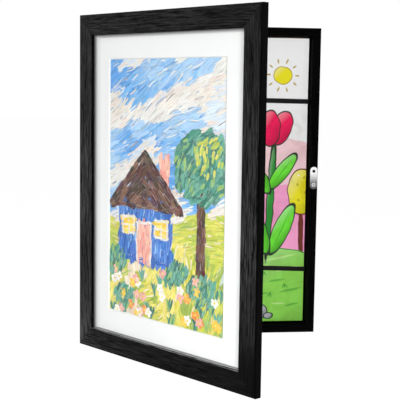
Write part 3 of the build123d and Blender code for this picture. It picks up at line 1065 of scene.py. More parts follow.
class ARTFRAME_OT_stage(bpy.types.Operator):
    """Set up the camera, the soft studio lamps and the pale floor"""

    bl_idname = "artframe.stage"
    bl_label = "Stage"

    def execute(self, context):
        studio = context.scene.art_frame.studio
        self.add_camera(context, studio)
        self.add_lamps(context)
        self.add_floor(context, studio)
        self.set_sky(context, studio)
        context.scene.view_settings.view_transform = "Standard"
        return {"FINISHED"}

    def add_camera(self, context, studio):
        """Place the camera where the picture was taken from."""
        lens = bpy.data.cameras.new("studio camera")
        lens.lens = studio.lens
        lens.sensor_width = 36
        lens.sensor_height = 36
        lens.clip_start = 0.01
        camera = bpy.data.objects.new("studio camera", lens)
        context.scene.collection.objects.link(camera)
        turn = Euler((math.pi / 2 + studio.camera_pitch, 0, studio.camera_yaw)).to_matrix()
        turn = turn @ Matrix.Rotation(studio.camera_roll, 3, "Z")
        camera.matrix_world = Matrix.Translation(studio.camera_place) @ turn.to_4x4()
        context.scene.camera = camera

    def add_lamps(self, context):
        """Add soft lamps. The pane doesn't mirror the two that stand in front of it."""
        for name, (place, size, power, mirrored) in LAMPS.items():
            lamp = bpy.data.lights.new(name, "AREA")
            lamp.size = size
            lamp.energy = power
            holder = bpy.data.objects.new(name, lamp)
            context.scene.collection.objects.link(holder)
            holder.location = place
            aim = LAMP_TARGET - Vector(place)
            holder.rotation_euler = aim.to_track_quat("-Z", "Y").to_euler()
            holder.visible_glossy = mirrored

    def add_floor(self, context, studio):
        """Add a wide pale floor that shows white to the camera but keeps shadows."""
        bm = bmesh.new()
        place = Matrix.Translation((0, 0, -studio.floor_drop))
        bmesh.ops.create_grid(bm, x_segments=1, y_segments=1, size=FLOOR_REACH, matrix=place)
        mesh = bpy.data.meshes.new("floor")
        bm.to_mesh(mesh)
        bm.free()
        floor = bpy.data.objects.new("floor", mesh)
        context.scene.collection.objects.link(floor)
        material, tree = new_finish("pale floor")
        share = calculate(tree, "MULTIPLY", self.seen_directly(tree), GLOW_SHARE)
        matt = add_node(tree, "BsdfDiffuse", {"Color": opaque(studio.floor_colour)})
        glow = add_node(tree, "Emission", {"Strength": GLOW_STRENGTH})
        inputs = {0: share, 1: matt.outputs[0], 2: glow.outputs[0]}
        end_in(tree, add_node(tree, "MixShader", inputs))
        mesh.materials.append(material)

    def seen_directly(self, tree):
        """1 for rays that show the background itself."""
        path = add_node(tree, "LightPath").outputs
        seen = calculate(tree, "MAXIMUM", path["Is Camera Ray"], path["Is Glossy Ray"])
        return calculate(tree, "MAXIMUM", seen, path["Is Transmission Ray"])

    def set_sky(self, context, studio):
        """Light the room evenly, and show it white."""
        world = bpy.data.worlds.new("studio")
        world.use_nodes = True
        tree = world.node_tree
        tree.nodes.clear()
        seen = self.seen_directly(tree)
        strength = spread_range(tree, seen, low=0.0, high=1.0, to_low=studio.sky_strength)
        sky = add_node(tree, "Background", {"Color": (1, 1, 1, 1), "Strength": strength})
        end_in(tree, sky, "OutputWorld")
        context.scene.world = world


# Each lamp's place, size and power, and whether it is mirrored in gloss
LAMPS = {
    "key lamp": ((-6.0, 1.4, 4.0), 3.0, 215.0, True),
    "front lamp": ((0.3, -2.5, 0.25), 0.6, 36.0, False),
    "fill lamp": ((-0.33, -0.66, -0.3), 0.3, 1.45, False),
    "back lamp": ((0.4, 1.9, 0.9), 1.6, 17.0, True),
}
LAMP_TARGET = Vector((-0.05, -0.05, -0.16))
FLOOR_REACH = 30.0
GLOW_SHARE = 0.92
GLOW_STRENGTH = 1.06


class ARTFRAME_OT_wood(bpy.types.Operator):
    """Finish the door moulding and the box walls in black grained wood"""

    bl_idname = "artframe.wood"
    bl_label = "Wood"

    def execute(self, context):
        wood = context.scene.art_frame.wood
        door = {"dark": wood.moulding_dark, "light": wood.moulding_light, "shine": 0.022}
        self.finish_sides(wood, door, DOOR_SIDES, True)
        box = {"dark": wood.box_dark, "light": wood.box_light, "shine": 0.01}
        self.finish_sides(wood, box, BOX_SIDES, False)
        return {"FINISHED"}

    def finish_sides(self, wood, part, sides, on_door):
        """Give each side its grain along its own length."""
        boxes = [shut_box(node) if on_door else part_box(node) for node in sides]
        low = Vector([min(box[0][axis] for box in boxes) for axis in range(3)])
        high = Vector([max(box[1][axis] for box in boxes) for axis in range(3)])
        centre = (low + high) / 2
        part.update(on_door=on_door, centre=centre, half=(high - low) / 2)
        for node, side in sides.items():
            sight = shut_box(node)[1].z - centre.z if node == LIP_SHEEN_SIDE else None
            finish_node(node, wood_finish(node.replace("_", " "), part, side, wood, sight))


def painted_side_lights(along, outer, *tones):
    """A side's grain axis, its outer face's painted lightness and the front's, as (share,
    lightness); all painted light and shade.
    """
    return {"along": along, "outer": outer, "tones": tones}


# Painted light and shade: how light each door side is painted along its length and on its outer
# face, for how the lamps fall on it
DOOR_SIDES = {
    "door_top_rail": painted_side_lights(0, 0.13, (0.0, 0.40), (0.2, 0.32), (0.6, 0.30), (1.0, 0.24)),
    "door_bottom_rail": painted_side_lights(
        0, 0.13,
        (0.0, 1.0), (0.06, 0.56), (0.16, 0.30), (0.33, 0.17), (0.7, 0.13), (0.9, 0.08), (1.0, 0.03),
    ),
    "door_hinge_stile": painted_side_lights(
        2, 0.15,
        (0.0, 1.0), (0.08, 0.8), (0.13, 0.58), (0.2, 0.49), (0.3, 0.44), (0.41, 0.70), (0.56, 0.70),
        (0.66, 0.58), (0.8, 0.43), (1.0, 0.48),
    ),
    "door_latch_stile": painted_side_lights(
        2, 0.015,
        (0.0, 0.02), (0.1, 0.06), (0.16, 0.24), (0.23, 0.36), (0.3, 0.5), (0.4, 0.62), (0.5, 0.44),
        (0.67, 0.45), (0.8, 0.28), (1.0, 0.25),
    ),
}
# The side whose inner edge carries the painted sheen
LIP_SHEEN_SIDE = "door_bottom_rail"
# Painted light and shade: each box wall is painted lighter on its outer face than on its front, and
# each wall a little differently
BOX_SIDES = {
    "box_top_wall": painted_side_lights(0, 1.0, (0.0, 0.18), (1.0, 0.18)),
    "box_bottom_wall": painted_side_lights(0, 1.0, (0.0, 0.155), (1.0, 0.155)),
    "box_left_wall": painted_side_lights(2, 1.0, (0.0, 0.22), (1.0, 0.22)),
    "box_right_wall": painted_side_lights(2, 1.0, (0.0, 0.22), (1.0, 0.22)),
}


class ARTFRAME_OT_boards(bpy.types.Operator):
    """Finish the pane, the mat, the backing board and the back panel"""

    bl_idname = "artframe.boards"
    bl_label = "Pane and boards"

    def execute(self, context):
        paper = context.scene.art_frame.paper
        self.set_pane(paper)
        mat_fleck = scaled(paper.mat_colour, 0.97)
        mat = board_finish(
            "white mat", paper.mat_colour, mat_fleck, fleck_scale=2600.0, on_door=True,
            roughness=0.85, shade_at=lip_shade,
        )
        finish_node("mat_board", mat)
        pulp = scaled(paper.backing_colour, 0.55)
        backing = board_finish(
            "grey board", paper.backing_colour, pulp, fleck_scale=2400.0, on_door=True,
            roughness=0.8,
        )
        finish_node("backing_board", backing)
        fibre = scaled(paper.hardboard_colour, 0.5)
        panel = board_finish(
            "hardboard", paper.hardboard_colour, fibre, fleck_scale=1300.0, on_door=False,
            roughness=0.55, depth=0.1 * MM,
        )
        finish_node("back_panel", panel)
        return {"FINISHED"}

    def set_pane(self, paper):
        """The clear pane, a hair off the mat behind it, with its edges broken."""
        low, high = shut_box("glazing")
        bm = bmesh.new()
        add_slab(bm, low, high - Vector((0, paper.pane_gap, 0)))
        bmesh.ops.bevel(
            bm, geom=list(bm.edges), offset=0.15 * MM, segments=2, affect="EDGES",
            profile=0.5, material=-1,
        )
        bm.transform(OPEN)
        new_piece(
            "acrylic_pane", bm, "door", acrylic_finish(), replaced=("glazing",)
        )


class ARTFRAME_OT_painting(bpy.types.Operator):
    """Paint the displayed picture in thick strokes on its sheet"""

    bl_idname = "artframe.painting"
    bl_label = "Displayed painting"

    def execute(self, context):
        settings = context.scene.art_frame.paint
        primed = board_finish(
            "primed sheet", PRIMER, PRIMER_FLECK, fleck_scale=300.0, on_door=True
        )
        finish_node("display_artwork", primed)
        low, high = shut_box("display_artwork")
        margin = Vector((settings.side_margin, 0, settings.end_margin))
        low += margin
        high -= margin
        size = ((high.x - low.x) / MM, (high.z - low.z) / MM)
        painter = Painter(settings)
        painter.landscape(size)
        painter.ridges(size)
        painter.house()
        painter.tree()
        painter.bushes()
        painter.flowers(size)
        painter.dry()
        bm = painter.painted
        centre = (low + high) / 2
        bmesh.ops.translate(bm, vec=(centre.x, low.y, centre.z), verts=list(bm.verts))
        trim_to(bm, low, high)
        bm.transform(OPEN)
        new_piece(
            "displayed_painting", bm, "door", paint_finish(),
            smooth_angle=math.pi,
        )
        return {"FINISHED"}


class ARTFRAME_OT_drawings(bpy.types.Operator):
    """Stack the stored drawings sheet by sheet, with a printed picture in front"""

    bl_idname = "artframe.drawings"
    bl_label = "Stored drawings"

    def execute(self, context):
        paper = context.scene.art_frame.paper
        self.stack_sheets(paper)
        self.front_sheet(paper)
        return {"FINISHED"}

    def stack_sheets(self, paper):
        """Many loose sheets, each a little out of line."""
        low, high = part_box("stored_sheets")
        random_source = random.Random(STACK_SEED)
        count = round((high.y - low.y) / paper.sheet_thickness)
        pitch = (high.y - low.y) / count
        reach = paper.sheet_shift
        bm = bmesh.new()
        for index in range(count):
            across = random_source.uniform(-1, 1) * reach
            shift = Vector((across, 0, -random_source.random() * reach))
            trim = Vector((random_source.random() * reach, 0, reach))
            back = high.y - index * pitch
            front = back - SHEET_FILL * pitch
            corner_low = Vector((low.x, front, low.z)) + shift + trim
            corner_high = Vector((high.x, back, high.z)) + shift - trim
            add_slab(bm, corner_low, corner_high)
        fleck = scaled(paper.paper_colour, 0.92)
        material = board_finish(
            "drawing paper", paper.paper_colour, fleck, fleck_scale=1800.0, on_door=False
        )
        new_piece(
            "drawing_stack", bm, "box", material, replaced=("stored_sheets",)
        )

    def front_sheet(self, paper):
        """The front drawing, held flat by the bands and rising a little between them."""
        low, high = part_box("stored_front_sheet")
        size = high - low
        middle = (low + high) / 2
        bm = bmesh.new()
        upright = Matrix.Rotation(math.pi / 2, 4, "X")
        place = Matrix.Translation((middle.x, low.y, middle.z)) @ upright
        place = place @ Matrix.Diagonal((size.x, size.z, 1.0, 1.0))
        bmesh.ops.create_grid(bm, x_segments=24, y_segments=36, size=0.5, matrix=place)
        heights = [sum(corner.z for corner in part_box(node)) / 2 for node in BANDS]
        for vertex in bm.verts:
            free = min(abs(vertex.co.z - height) for height in heights)
            rise = 1 - math.exp(-((free / HELD_REACH) ** 2))
            ripple = noise.noise(vertex.co * RIPPLE_SCALE + RIPPLE_START)
            aside = abs(vertex.co.x - middle.x) / (size.x / 2)
            lift = paper.sheet_bulge * rise * (0.5 + 0.9 * ripple + 0.6 * aside)
            vertex.co.y -= max(0.0, lift)
        bmesh.ops.recalc_face_normals(bm, faces=list(bm.faces))
        if sum(face.normal.y for face in bm.faces) > 0:
            bmesh.ops.reverse_faces(bm, faces=list(bm.faces))
        bmesh.ops.solidify(bm, geom=list(bm.faces), thickness=FRONT_FILL * size.y)
        strip = size.x / DRAWING_STRIPS
        for face in bm.faces:
            column = int((face.calc_center_median().x - low.x) / strip)
            face.material_index = min(DRAWING_STRIPS - 1, max(0, column))
        strips = [
            drawing_finish(middle, size, low.x + index * strip, low.x + (index + 1) * strip)
            for index in range(DRAWING_STRIPS)
        ]
        piece = new_piece(
            "front_drawing", bm, "box", strips[0],
            replaced=("stored_front_sheet",), smooth_angle=math.radians(40),
        )
        for material in strips[1:]:
            piece.data.materials.append(material)


BANDS = {"upper_elastic_band": "upper_tilt", "lower_elastic_band": "lower_tilt"}
SLIPPED_BAND = "upper_elastic_band"
STACK_SEED = 5

# How much of its room in the stack a sheet's paper fills, and how much the front sheet fills
SHEET_FILL = 0.8
FRONT_FILL = 0.8

# How far from a band the front sheet is held down, and its ripples
HELD_REACH = 30 * MM
RIPPLE_SCALE = 14
RIPPLE_START = Vector((4, 8, 1))

# The drawing is finished in strips side by side, because one shader can't hold all its shapes
DRAWING_STRIPS = 4

# The front drawing's flat shapes, from back to front. Each is a centre and half sizes in
# thousandths of the sheet's height from its middle, a turn in degrees and a fill, and where it is
# outlined its line and how deep it is shaded.
LINE_COLOUR = (0.02, 0.03, 0.02)
GOLD = (0.48, 0.36, 0.06)
SKY_WASH = (0.92, 0.92, 0.93)
PINK_HILL = (0.96, 0.38, 0.64)
PALE_PINK = (0.95, 0.66, 0.70)
BRIGHT_GREEN = (0.17, 0.80, 0.05)
HILL_GREEN = (0.26, 0.66, 0.09)
DEEP_GREEN = (0.03, 0.30, 0.04)
YELLOW = (0.88, 0.79, 0.02)
MAGENTA = (0.90, 0.015, 0.11)
BROWN = (0.16, 0.035, 0.02)
OLIVE = (0.50, 0.48, 0.03)
WHITE = (0.93, 0.93, 0.93)
PALE_GREEN = (0.48, 0.80, 0.26)
GRASS_GREEN = (0.12, 0.46, 0.06)
STONE = (0.40, 0.42, 0.45)
SHAPES = (
    (150, -40, 330, 190, 12, PALE_PINK),
    (-190, -90, 300, 170, -8, PINK_HILL),
    (250, -150, 230, 140, 6, PINK_HILL),
    (268, 372, 34, 34, 0, YELLOW, GOLD),
    (345, -190, 10, 116, 2, BROWN),
    (345, -36, 52, 84, 3, YELLOW, BROWN, 0.5),
    (10, -210, 8, 90, -2, BROWN),
    (10, -96, 56, 82, -3, YELLOW, BROWN),
    (-330, -195, 7, 70, 2, BROWN),
    (-330, -100, 44, 64, 3, YELLOW, BROWN),
    (180, -470, 420, 235, 4, HILL_GREEN, DEEP_GREEN, 0.6),
    (-240, -500, 360, 225, -5, HILL_GREEN, DEEP_GREEN, 0.6),
    (262, -272, 76, 5, 11, PALE_GREEN),
    (300, -312, 52, 4, 14, PALE_GREEN),
    (206, -300, 34, 4, 6, PALE_GREEN),
    (310, -388, 44, 5, 12, GRASS_GREEN),
    (196, -402, 40, 5, 3, GRASS_GREEN),
    (262, -352, 34, 4, 8, GRASS_GREEN),
    (318, -440, 30, 4, 10, GRASS_GREEN),
    (268, -436, 26, 4, 2, PALE_GREEN),
    (186, -462, 46, 34, -8, STONE, LINE_COLOUR, 0.9),
    (232, -480, 20, 13, 8, STONE, LINE_COLOUR, 0.9),
)
SUN = (268, 372, 52)
SPARKS = (
    (205, 30), (312, 78), (248, -30), (330, 20), (228, -92), (-190, 30), (-300, -10), (-120, -60),
)
BUSH_DOTS = (
    (330, -10), (358, -38), (334, -66), (352, 14), (2, -70), (24, -100), (-6, -124), (-334, -90),
)
CLOUD_PUFFS = ((-250, 330, 52, 42), (-190, 350, 60, 60), (-125, 335, 50, 42), (-190, 318, 96, 28))
TUFTS = ((215, -325, 0), (292, -372, 8), (236, -405, -6), (-60, -380, 5), (-190, -350, -4))
STEMS = (
    (232, -60, 15, 240, -3),
    (96, -110, 14, 200, 5),
    (-80, -110, 14, 210, -4),
    (-235, -70, 15, 230, 3),
)
LEAF_SHAPES = (
    (276, -168, 31, 104, -24),
    (182, -160, 33, 114, 25),
    (274, 36, 26, 84, -38),
    (184, 24, 28, 86, 36),
    (-14, -160, 37, 126, -25),
    (-140, -170, 36, 118, 24),
    (-176, -140, 38, 130, -25),
    (-296, -150, 37, 122, 26),
)
BLOOMS = ((228, 188, 62, 66), (84, 96, 54, 56), (-70, 106, 58, 60), (-242, 172, 70, 70))

# Half sizes of the small shapes, and in shares of a bloom or a leaf the size of a petal or a vein
CLOUD_RIM = 4
SUN_RAY = (3.5, 10)
SPARK = (4, 4)
BUSH_DOT = (5, 6)
GRASS_BLADE = (2.2, 13)
VEIN_WIDTH = 1.8
VEIN_SHARE = 0.8
PETAL_SHARE = 0.62
LEAF_SHADE = 0.9
PETAL_SHADE = 0.6

# How the drawing is inked, in metres
LINE_WIDTH = 1.1 * MM
EDGE_BLUR = 0.5 * MM
SWAY = 2 * MM

# Room round an oval for its sway, and the heights between which the blotches fade, in thousandths
SWAY_ROOM = 14
BLOTCH_TOP = 260
BLOTCH_FULL = 200

SKY_PALE = (0.97, 0.97, 0.98)
SHADOW_TINT = (0.30, 0.42, 0.34)
POOL_TINT = (0.84, 0.82, 0.80)


def garden_shapes():
    """The drawing's ovals from back to front, each as in SHAPES."""
    for grow, fill in ((CLOUD_RIM, GOLD), (0, SKY_WASH)):
        for x, z, across, tall in CLOUD_PUFFS:
            yield x, z, across + grow, tall + grow, 0, fill
    yield from SHAPES
    sun_x, sun_z, ray_reach = SUN
    for turn in range(0, 360, 36):
        ray_x = sun_x + ray_reach * math.cos(math.radians(turn))
        ray_z = sun_z + ray_reach * math.sin(math.radians(turn))
        yield ray_x, ray_z, *SUN_RAY, turn - 90, GOLD
    for x, z in SPARKS:
        yield x, z, *SPARK, 0, WHITE
    for x, z in BUSH_DOTS:
        yield x, z, *BUSH_DOT, 0, OLIVE
    for x, z, lean in TUFTS:
        for side in (-1, 0, 1):
            yield x + 5 * side, z, *GRASS_BLADE, lean + 24 * side, DEEP_GREEN
    for stem in STEMS:
        yield *stem, DEEP_GREEN, LINE_COLOUR
    for x, z, across, tall, turn in LEAF_SHAPES:
        yield x, z, across, tall, turn, BRIGHT_GREEN, LINE_COLOUR, LEAF_SHADE
        yield x, z, VEIN_WIDTH, VEIN_SHARE * tall, turn, DEEP_GREEN
    for x, z, across, tall in BLOOMS:
        for side, lean in ((-PETAL_SHARE, 20), (PETAL_SHARE, -20), (0.0, 0)):
            petal = (x + side * across, z, PETAL_SHARE * across, tall, lean)
            yield *petal, MAGENTA, LINE_COLOUR, PETAL_SHADE


def blot_group(outlined):
    """A node group that draws one oval over a colour, plain or outlined and shaded."""
    name = "outlined oval" if outlined else "plain oval"
    tree = bpy.data.node_groups.new(name, "ShaderNodeTree")
    sockets = {
        "Place": "Vector",
        "Under": "Color",
        "Centre": "Vector",
        "Reach": "Vector",
        "Turn": "Vector",
        "Fill": "Color",
    }
    if outlined:
        sockets.update({"Line": "Color", "Line Width": "Float", "Shade": "Float"})
    for name, kind in sockets.items():
        tree.interface.new_socket(name, in_out="INPUT", socket_type="NodeSocket" + kind)
    tree.interface.new_socket("Colour", in_out="OUTPUT", socket_type="NodeSocketColor")
    given = tree.nodes.new("NodeGroupInput").outputs
    shifted = vector_math(tree, "SUBTRACT", given["Place"], given["Centre"])
    turned = add_node(tree, "Mapping", {"Vector": shifted, "Rotation": given["Turn"]}).outputs[0]
    shaped = vector_math(tree, "DIVIDE", turned, given["Reach"])
    radius = add_node(tree, "VectorMath", {0: shaped}, operation="LENGTH").outputs["Value"]
    parts = add_node(tree, "SeparateXYZ", {0: given["Reach"]}).outputs
    smaller = calculate(tree, "MINIMUM", parts[0], parts[2])
    blur = calculate(tree, "DIVIDE", EDGE_BLUR, smaller)
    inside = calculate(tree, "DIVIDE", calculate(tree, "SUBTRACT", 1.0, radius), blur, clamp=True)
    body = given["Fill"]
    if outlined:
        body = shaded_fill(tree, shaped, given)
        band = calculate(tree, "DIVIDE", given["Line Width"], smaller)
        core = calculate(tree, "SUBTRACT", calculate(tree, "SUBTRACT", 1.0, band), radius)
        core = calculate(tree, "DIVIDE", core, blur, clamp=True)
        body = blend_colours(tree, core, given["Line"], body)
    output = tree.nodes.new("NodeGroupOutput")
    shown = blend_colours(tree, inside, given["Under"], body)
    tree.links.new(shown, output.inputs["Colour"])
    return tree


def shaded_fill(tree, shaped, given):
    """An oval's fill, lighter at its upper left and darker at its lower right."""
    side = add_node(tree, "SeparateXYZ", {0: shaped}).outputs
    slope = calculate(tree, "SUBTRACT", side[2], side[0])
    gleam = spread_range(tree, slope, low=0.25, high=1.5, to_high=0.7)
    shadow = spread_range(tree, slope, low=-0.2, high=-1.3, to_high=given["Shade"])
    light = blend_colours(tree, 0.45, given["Fill"], (1, 1, 1, 1))
    deep = multiply_colours(tree, given["Fill"], opaque(SHADOW_TINT))
    body = blend_colours(tree, gleam, given["Fill"], light)
    return blend_colours(tree, shadow, body, deep)


def drawing_finish(middle, size, left, right):
    """A strip of a flat garden picture: outlined flowers, leaves, hills, a cloud and a sun."""
    material, tree = new_finish("garden drawing")
    groups = [blot_group(outlined) for outlined in (False, True)]
    unit = size.z / 1000
    place = vector_math(tree, "SUBTRACT", object_place(tree), middle)
    flat = vector_math(tree, "MULTIPLY", place, (1.0, 0.0, 1.0))
    wobble = speckle(tree, flat, 60.0, detail=1.0)
    sway = calculate(tree, "MULTIPLY_ADD", wobble, 2 * SWAY, -SWAY)
    pushed = add_node(tree, "CombineXYZ", {0: sway, 2: sway}).outputs[0]
    drawn = vector_math(tree, "ADD", flat, pushed)
    wash = speckle(tree, flat, 18.0, detail=3.0, roughness=0.6)
    washed = spread_range(tree, wash, low=0.3, high=0.7)
    colour = blend_colours(tree, washed, opaque(SKY_WASH), opaque(SKY_PALE))

    def oval(under, x, z, across, tall, turn, fill, line=None, shade_depth=0.0):
        reach = (max(across, tall) + SWAY_ROOM) * unit
        if not left - reach < middle.x + x * unit < right + reach:
            return under
        inputs = {
            "Place": drawn,
            "Under": under,
            "Centre": (x * unit, 0, z * unit),
            "Reach": (across * unit, 1.0, tall * unit),
            "Turn": (0, math.radians(turn), 0),
            "Fill": opaque(fill),
        }
        if line is not None:
            inputs.update({"Line": opaque(line), "Line Width": LINE_WIDTH, "Shade": shade_depth})
        group = groups[line is not None]
        return add_node(tree, "Group", inputs, node_tree=group).outputs[0]

    for shape in garden_shapes():
        colour = oval(colour, *shape)
    fibres = speckle(tree, object_place(tree), 1600.0, detail=4.0, roughness=0.6)
    pooled = multiply_colours(tree, colour, opaque(POOL_TINT))
    blotches = speckle(tree, flat, 42.0, detail=4.0, roughness=0.62, distortion=0.8)
    blotted = spread_range(tree, blotches, low=0.45, high=0.7)
    height = add_node(tree, "SeparateXYZ", {0: flat}).outputs[2]
    painted = spread_range(tree, height, BLOTCH_TOP * unit, BLOTCH_FULL * unit)
    inked = calculate(tree, "MULTIPLY", blotted, painted)
    values = {
        "Base Color": blend_colours(tree, inked, colour, pooled),
        "Roughness": 0.55,
        "Specular IOR Level": 0.25,
        "Normal": relief(tree, fibres, 0.04 * MM, strength=0.5),
    }
    shade(tree, values)
    return material


class ARTFRAME_OT_bands(bpy.types.Operator):
    """Weave the two elastic bands across the drawings"""

    bl_idname = "artframe.bands"
    bl_label = "Elastic bands"

    def execute(self, context):
        band = context.scene.art_frame.band
        material = elastic_finish(band.colour)
        for node, tilt in BANDS.items():
            self.weave(node, getattr(band, tilt), band, material)
        return {"FINISHED"}

    def weave(self, node, tilt, band, material):
        """One ribbed strip that runs across and folds back along both walls."""
        low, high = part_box(node)
        middle = (low + high) / 2
        if node == SLIPPED_BAND:
            middle.z -= band.upper_drop
        half = (high.x - low.x) / 2 - band.thickness / 2
        radius = band.fold_radius - band.thickness / 2
        tab = high.y - low.y - band.fold_radius
        straight = half - radius
        arc = radius * math.pi / 2
        reach = straight + arc + tab
        face = low.y + band.thickness / 2
        bm = bmesh.new()
        uv_layer = bm.loops.layers.uv.new("weave")
        bmesh.ops.create_grid(bm, x_segments=180, y_segments=20, size=0.5)
        for vertex in bm.verts:
            along = 2 * vertex.co.x * reach
            across = vertex.co.y * band.width
            for loop in vertex.link_loops:
                loop[uv_layer].uv = (along, across)
            side = math.copysign(1, along)
            run = abs(along)
            if run < straight:
                x, y, facing = run, 0.0, 0.0
            elif run < straight + arc:
                facing = (run - straight) / radius
                x = straight + radius * math.sin(facing)
                y = radius * (1 - math.cos(facing))
            else:
                x, y, facing = half, radius + run - straight - arc, math.pi / 2
            rib = 0.5 * band.thickness * self.profile(across / band.width)
            x += rib * math.sin(facing)
            y -= rib * math.cos(facing)
            rise = math.tan(tilt) * side * x
            vertex.co = (side * x + middle.x, face + y, middle.z + rise + across)
        self.thicken(bm, band.thickness)
        new_piece(
            node.replace("elastic_band", "woven_band"), bm, "box", material,
            replaced=(node,), smooth_angle=math.radians(50),
        )

    def profile(self, share):
        """The face's height across the band: ribs, and edges rounded off past a flat middle."""
        flat_share = 0.86
        rib_count = 6
        rib_depth = 0.28
        edge = max(0.0, abs(2 * share) - flat_share) / (1 - flat_share)
        rib = 0.5 + 0.5 * math.cos(share * math.tau * rib_count)
        return (1 - rib_depth + rib_depth * rib) * math.sqrt(max(0.0, 1 - edge * edge))

    def thicken(self, bm, thickness):
        """Give the strip a back, with its faces pointing out."""
        faces = list(bm.faces)
        if sum(face.normal.y for face in faces) > 0:
            bmesh.ops.reverse_faces(bm, faces=faces)
        bmesh.ops.solidify(bm, geom=faces, thickness=0.5 * thickness)


class ARTFRAME_OT_metal(bpy.types.Operator):
    """Finish the hinges, the catch, the hangers and the fasteners"""

    bl_idname = "artframe.metal"
    bl_label = "Metalwork"

    def execute(self, context):
        metal = context.scene.art_frame.metal
        polished = metal_finish("polished steel", metal.plate_colour, roughness=0.18, wear=0.1)
        dull_shade = metal_finish("worn steel", metal.dull_shade_colour, roughness=0.35)
        nickel = metal_finish("nickel plate", metal.hinge_colour, roughness=0.3)
        zinc = metal_finish("zinc plate", metal.zinc_colour, roughness=0.42, axis=0)
        black = metal_finish("blackened steel", metal.dark_colour, roughness=0.45, axis=0)
        finish_node("strike_plate", plate_finish(metal.plate_colour, metal.dull_shade_colour))
        for node in NICKEL_NODES:
            finish_node(node, nickel)
        for node in ZINC_NODES:
            finish_node(node, zinc)
        finish_node("retaining_points", black)
        # Each screw's cross recess takes the darker second material, as painted shade
        self.cut_screws("strike_screw", "box", (polished, dull_shade), "polished_steel", metal)
        self.cut_screws("hinge_box_screws", "box", (nickel, black), "hinge_steel", metal)
        self.cut_screws("hinge_door_screws", "door", (nickel, black), "hinge_steel", metal)
        return {"FINISHED"}

    def cut_screws(self, node, body, materials, slot, metal):
        """Copy a node's screws with a cross recess cut in each head, in the second material, which
        is darker as painted shade.
        """
        source = bmesh.new()
        source.from_mesh(frame["nodes"][node].data)
        if body == "door":
            source.transform(SHUT)
        bmesh.ops.remove_doubles(source, verts=list(source.verts), dist=TOUCHING)
        bmesh.ops.dissolve_limit(
            source, angle_limit=math.radians(1), verts=list(source.verts), edges=list(source.edges)
        )
        facing = 1 if body == "door" else -1
        heads = [face for face in source.faces if facing * face.normal.y > LEVEL]
        outer = max(facing * face.calc_center_median().y for face in heads)
        tops = [face for face in heads if facing * face.calc_center_median().y > outer - 0.1 * MM]
        centres = [top.calc_center_median() for top in tops]
        reach = max((vertex.co - centres[0]).length for vertex in tops[0].verts)
        bmesh.ops.bevel(
            source, geom=[edge for top in tops for edge in top.edges], offset=HEAD_BEVEL * reach,
            segments=3, affect="EDGES", profile=0.5, material=-1,
        )
        for centre in centres:
            self.cut_cross(source, centre, reach, facing, metal.recess_width_share * reach)
        bmesh.ops.recalc_face_normals(source, faces=list(source.faces))
        if body == "door":
            source.transform(OPEN)
        name = node.replace("screw", "cross_screw")
        piece = new_piece(
            name, source, body, materials[0],
            replaced=(node,), smooth_angle=math.radians(35),
        )
        piece.data.materials.append(materials[1])

    def cut_cross(self, bm, centre, reach, facing, half_slot):
        """Press a cross into the round face at a centre."""
        arm = RECESS_ARM * reach
        level = centre.y
        for axis in (0, 2):
            for offset in (-arm, -half_slot, half_slot, arm):
                spot = centre.copy()
                spot[axis] += offset
                normal = Vector((0, 0, 0))
                normal[axis] = 1
                faces = [
                    face for face in bm.faces
                    if abs(face.calc_center_median().y - level) < TOUCHING
                    and (face.calc_center_median() - centre).length < reach
                ]
                edges = {edge for face in faces for edge in face.edges}
                corners = {vertex for face in faces for vertex in face.verts}
                geometry = list(corners) + list(edges) + faces
                bmesh.ops.bisect_plane(bm, geom=geometry, plane_co=spot, plane_no=normal)
        chosen = []
        for face in bm.faces:
            offset = face.calc_center_median() - centre
            flat = abs(offset.y) < TOUCHING
            lying = abs(offset.x) < arm and abs(offset.z) < half_slot
            standing = abs(offset.z) < arm and abs(offset.x) < half_slot
            if flat and (lying or standing):
                chosen.append(face)
        pressed = bmesh.ops.extrude_face_region(bm, geom=chosen)["geom"]
        floor = [item for item in pressed if isinstance(item, bmesh.types.BMVert)]
        bmesh.ops.delete(bm, geom=chosen, context="FACES_ONLY")
        for vertex in floor:
            vertex.co = centre + (vertex.co - centre) * RECESS_TAPER
            vertex.co.y = level - facing * RECESS_DEPTH * reach
            # The recess faces take the darker second material, as painted shade
            for face in vertex.link_faces:
                face.material_index = 1


# A screw head's rounding and cross recess, in shares of its radius, and how much its foot narrows
HEAD_BEVEL = 0.16
RECESS_ARM = 0.7
RECESS_DEPTH = 0.42
RECESS_TAPER = 0.72
TOUCHING = 0.01 * MM

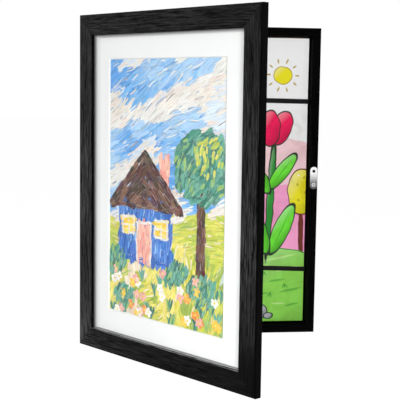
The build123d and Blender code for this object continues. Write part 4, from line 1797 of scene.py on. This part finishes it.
# How far along the box's depth the normal of a face points that faces straight out
LEVEL = 0.99

NICKEL_NODES = (
    "upper_hinge_box_leaf",
    "lower_hinge_box_leaf",
    "upper_hinge_door_leaf",
    "lower_hinge_door_leaf",
    "hinge_pins",
    "catch_magnet",
)
ZINC_NODES = (
    "portrait_hanger",
    "landscape_hanger",
    "catch_magnet_cup",
    "door_v_nails",
    "box_v_nails",
    "back_panel_staples",
    "band_staples",
)


class ARTFRAME_PT_sidebar(bpy.types.Panel):
    """Shows the art frame's operators and settings"""

    bl_idname = "ARTFRAME_PT_sidebar"
    bl_label = "Art Frame"
    bl_space_type = "VIEW_3D"
    bl_region_type = "UI"
    bl_category = "Art Frame"

    def draw(self, context):
        for operator in OPERATORS:
            self.layout.operator(operator.bl_idname)
        for group in SETTINGS:
            settings = getattr(context.scene.art_frame, group)
            box = self.layout.box()
            for name in settings.__annotations__:
                box.prop(settings, name)


SETTINGS = {
    "wood": WoodSettings,
    "paper": PaperSettings,
    "paint": PaintSettings,
    "band": BandSettings,
    "metal": MetalSettings,
    "studio": StudioSettings,
}
OPERATORS = (
    ARTFRAME_OT_stage,
    ARTFRAME_OT_wood,
    ARTFRAME_OT_boards,
    ARTFRAME_OT_painting,
    ARTFRAME_OT_drawings,
    ARTFRAME_OT_bands,
    ARTFRAME_OT_metal,
)
CLASSES = (*SETTINGS.values(), ArtFrameSettings, *OPERATORS, ARTFRAME_PT_sidebar)


def register():
    """Register the classes and the scene's settings."""
    for item in CLASSES:
        bpy.utils.register_class(item)
    bpy.types.Scene.art_frame = PointerProperty(type=ArtFrameSettings)


def unregister():
    """Remove the settings and the classes."""
    del bpy.types.Scene.art_frame
    for item in reversed(CLASSES):
        bpy.utils.unregister_class(item)


def main():
    """Build every piece."""
    register()
    bpy.ops.artframe.stage()
    bpy.ops.artframe.wood()
    bpy.ops.artframe.boards()
    bpy.ops.artframe.painting()
    bpy.ops.artframe.drawings()
    bpy.ops.artframe.bands()
    bpy.ops.artframe.metal()


if __name__ == "__main__":
    main()
